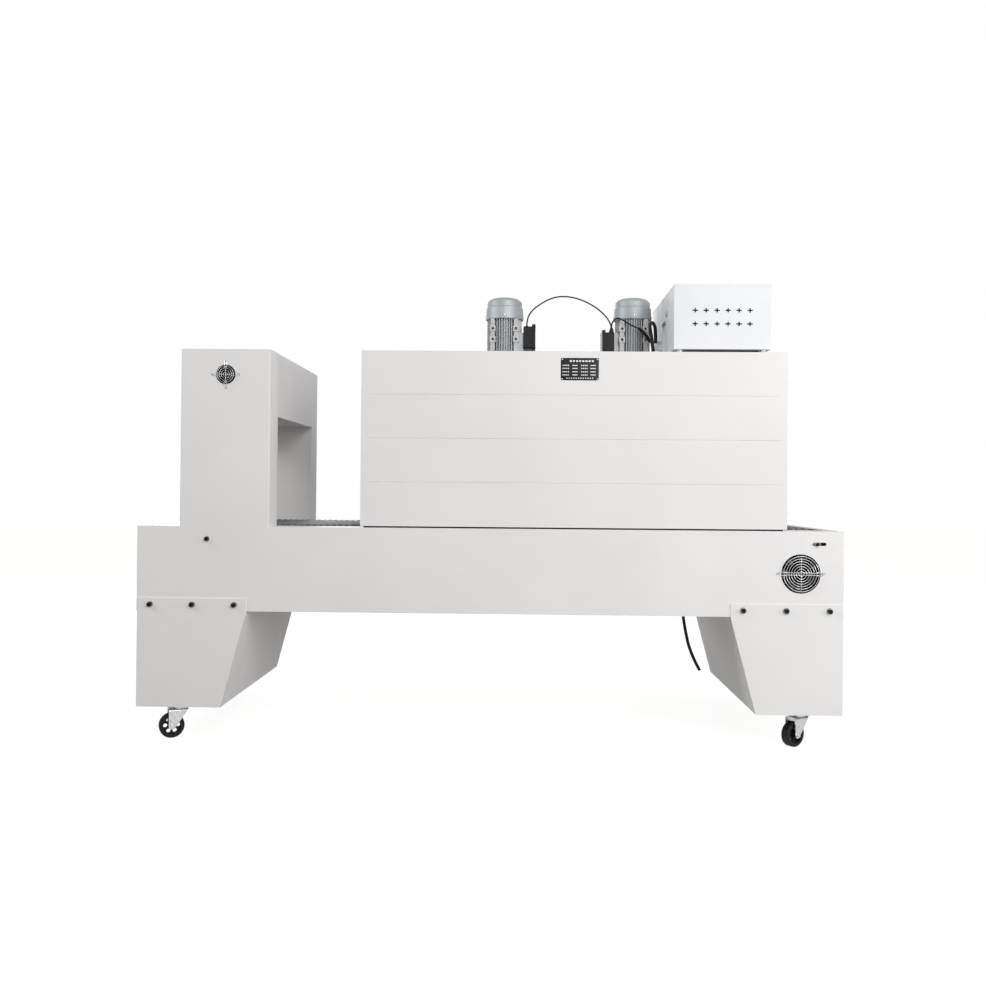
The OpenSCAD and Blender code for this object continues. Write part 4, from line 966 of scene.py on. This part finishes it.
titles = row(start=0.26, step=0.083, count=8, down=0.14)
labels = []
for down in FIELD_ROWS:
    for start in LABEL_STARTS:
        labels += row(start, step=0.047, count=4, down=down)
labels += row(start=0.16, step=0.062, count=12, down=0.905)
entries = [on_plate(across, down) for down in FIELD_ROWS for across in ENTRY_MIDDLES]
fields = join([
    repeat(rounded_slab(*TITLE_DASH, PRINT_T, TITLE_CORNER), titles),
    repeat(rounded_slab(*LABEL_DASH, PRINT_T, LABEL_CORNER), labels),
    repeat(rounded_slab(*ENTRY_BAR, PRINT_T, LABEL_CORNER), entries),
])
settle(fields, "rating_plate_fields", plate_light)

# %% [markdown]
# Four rivets hold the plate. Their heads are low domes with no slot, so they are turned from four rings, like
# the screws, and set in from the plate's corners.

# %% Rating plate rivets
RIVET_IN, RIVET_SIDES = 0.0050, 16
RIVET_RINGS = [(0.0028, 0), (0.0026, 0.0006), (0.0018, 0.0012), (0.0008, 0.0015)]
rivet_x, rivet_z = plate_w / 2 - RIVET_IN, plate_h / 2 - RIVET_IN
rivets = [
    (plate_mid + Vector((dx * rivet_x, -PLATE_THICK, dz * rivet_z)), "front")
    for dx in (-1, 1) for dz in (-1, 1)
]
settle(repeat(turn_up(RIVET_RINGS, RIVET_SIDES), rivets), "rating_plate_rivets", zinc)

# %% [markdown]
# The cabinet's left side carries a flat metal pull with a key lock above it, and three screws on each side
# hold its lid. The pull could be a bent bar, but it lies flat against the side, so it is a slab whose middle
# is hollowed for the fingers. The lock is turned, with a slot for the key.

# %% Cabinet pull, lock and screws
lid_low, lid_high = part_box("cabinet_lid")
PULL_L, PULL_H, PULL_T = 0.090, 0.016, 0.005
PULL_CORNER, PULL_EDGE = 0.006, 0.0015
PULL_SPOT, LOCK_SPOT = (-0.165, 1.626), (-0.236, 1.655)
LOCK_RINGS = [
    (0.011, 0), (0.011, 0.0025), (0.010, 0.0035), (0.0075, 0.0035), (0.007, 0.0025), (0.0065, 0.004),
]
KEY_W, KEY_L, KEY_DEEP, KEY_LIFT = 0.0016, 0.009, 0.004, 0.0045
LID_SCREW_DROP, LID_SCREW_Y, LID_SIDE_SCREW_R = 0.004, (-0.35, -0.12, 0.11), 0.003
pull = rounded_slab(PULL_L, PULL_H, PULL_T, PULL_CORNER, PULL_EDGE)
pull = cut_out(pull, bar(0.7 * PULL_L, 0.4 * PULL_H, PULL_T, PULL_T))
lock = cut_out(turn_up(LOCK_RINGS), bar(KEY_W, KEY_L, KEY_DEEP, KEY_LIFT))
settle(repeat(pull, [((lid_low.x, *PULL_SPOT), "left")]), "cabinet_pull", dull_zinc)
settle(repeat(lock, [((lid_low.x, *LOCK_SPOT), "left")]), "cabinet_lock", dull_zinc)
lid_screws = [
    ((x, y, lid_high.z - LID_SCREW_DROP), side)
    for x, side in ((lid_low.x, "left"), (lid_high.x, "right")) for y in LID_SCREW_Y
]
settle(repeat(pan_screw(LID_SIDE_SCREW_R), lid_screws), "cabinet_lid_screws", zinc)

# %% [markdown]
# The operator works at the back of the cabinet, so the controls there are guessed from such machines: two
# temperature controllers, a speed knob, four push buttons and a stop button. The black bodies come first.
# They could be pieces of their own, but they share one finish and stand for one node of the frame, so they
# are joined.

# %% Control bodies
CABINET_H = 0.245
panel_x = middle("control_panel").x
panel_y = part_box("operator_controls")[0].y
cabinet_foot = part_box("cabinet_base")[1].z
UPPER, LOWER = cabinet_foot + 0.7 * CABINET_H, cabinet_foot + 0.3 * CABINET_H
METERS = (-0.110, -0.040)
FIRST_BUTTON, BUTTON_STEP = -0.118, 0.052
BUTTONS = [FIRST_BUTTON + BUTTON_STEP * k for k in range(4)]
KNOB, STOP = 0.090, 0.108
BEZEL_SIDE, BEZEL_T, BEZEL_CORNER, BEZEL_EDGE = 0.048, 0.007, 0.0035, 0.0012
BUTTON_RINGS = [(0.015, 0), (0.015, 0.003), (0.0135, 0.005), (0.012, 0.005), (0.0115, 0.004)]
KNOB_RINGS = [(0.022, 0), (0.022, 0.002), (0.020, 0.005), (0.017, 0.006), (0.0155, 0.020), (0.014, 0.022)]
KNOB_SIDES = 40
COLLAR_RINGS = [(0.023, 0), (0.023, 0.004), (0.021, 0.005), (0.013, 0.005), (0.013, 0.012)]


def at_panel(across, height):
    """A place on the operator's panel, across from its middle."""
    return ((panel_x + across, panel_y, height), "back")


bezel = rounded_slab(BEZEL_SIDE, BEZEL_SIDE, BEZEL_T, BEZEL_CORNER, BEZEL_EDGE)
controls = join([
    repeat(bezel, [at_panel(u, UPPER) for u in METERS]),
    repeat(turn_up(BUTTON_RINGS), [at_panel(u, LOWER) for u in BUTTONS]),
    repeat(turn_up(KNOB_RINGS, KNOB_SIDES), [at_panel(KNOB, UPPER)]),
    repeat(turn_up(COLLAR_RINGS), [at_panel(STOP, LOWER)]),
])
settle(controls, "control_bodies", black_plastic)
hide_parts("operator_controls")

# %% [markdown]
# The controllers' windows and the buttons' caps have finishes of their own, so each kind is a piece. A window
# is a slab that stands a little out of its bezel, and the caps and the stop button's mushroom are turned.

# %% Windows and caps
WINDOW_W, WINDOW_H, WINDOW_T, WINDOW_UP = 0.038, 0.022, 0.0078, 0.006
WINDOW_CORNER, WINDOW_EDGE = 0.002, 0.0004
CAP_RINGS = [(0.011, 0), (0.011, 0.010), (0.010, 0.012), (0.006, 0.0125)]
MUSHROOM_RINGS = [
    (0.011, 0.010), (0.018, 0.014), (0.019, 0.018), (0.0175, 0.022), (0.013, 0.025), (0.006, 0.026),
]
window = rounded_slab(WINDOW_W, WINDOW_H, WINDOW_T, WINDOW_CORNER, WINDOW_EDGE)
windows = [at_panel(u, UPPER + WINDOW_UP) for u in METERS]
settle(repeat(window, windows), "controller_windows", display_glass)
green_places = [at_panel(u, LOWER) for u in BUTTONS[:2]]
red_places = [at_panel(u, LOWER) for u in BUTTONS[2:]]
settle(repeat(turn_up(CAP_RINGS), green_places), "start_buttons", start_green)
settle(repeat(turn_up(CAP_RINGS), red_places), "off_buttons", stop_red)
stop_place = at_panel(STOP, LOWER)
settle(repeat(turn_up(MUSHROOM_RINGS), [stop_place]), "stop_button", stop_red)

# %% [markdown]
# Where the power lead leaves its gland it has a soft, ribbed sleeve that tapers, so that the lead doesn't
# kink. An array modifier could repeat the ribs, but not taper them, so the sleeve is turned like the bolts,
# with two wide and two narrow rings for each rib.

# %% Strain relief
RELIEF_L, RELIEF_RIBS, RELIEF_SIDES = 0.034, 6, 24
RELIEF_TOP_R, RELIEF_END_R = 0.0096, 0.0074
RIB_SHAPE = ((0.0, 1.0), (0.55, 1.0), (0.65, 0.9), (0.95, 0.9))
relief_rings = []
for rib in range(RELIEF_RIBS):
    for part, swell in RIB_SHAPE:
        along = (rib + part) / RELIEF_RIBS
        radius = RELIEF_TOP_R + (RELIEF_END_R - RELIEF_TOP_R) * along
        relief_rings.append((radius * swell, along * RELIEF_L))
relief = turn_up(relief_rings, RELIEF_SIDES)
settle(repeat(relief, [(power_route[0], "down")]), "power_strain_relief", cable_sheath)

# %% [markdown]
# The lower half of the cabinet's cable runs in a thick plain sleeve. It follows the same points as the cable
# inside it, so it is bent like the cable and made a mesh.

# %% Cable sleeve
SLEEVE_D, SLEEVE_FROM_X, SLEEVE_TO_X = 0.012, 0.595, 0.670
sleeve_route = [point for point in cabinet_route if SLEEVE_FROM_X < point[0] < SLEEVE_TO_X]
sleeve = draw_wire(bend(sleeve_route, SLEEVE_D, CABLE_SMOOTHNESS))
settle(sleeve, "cabinet_cable_sleeve", cable_sheath)
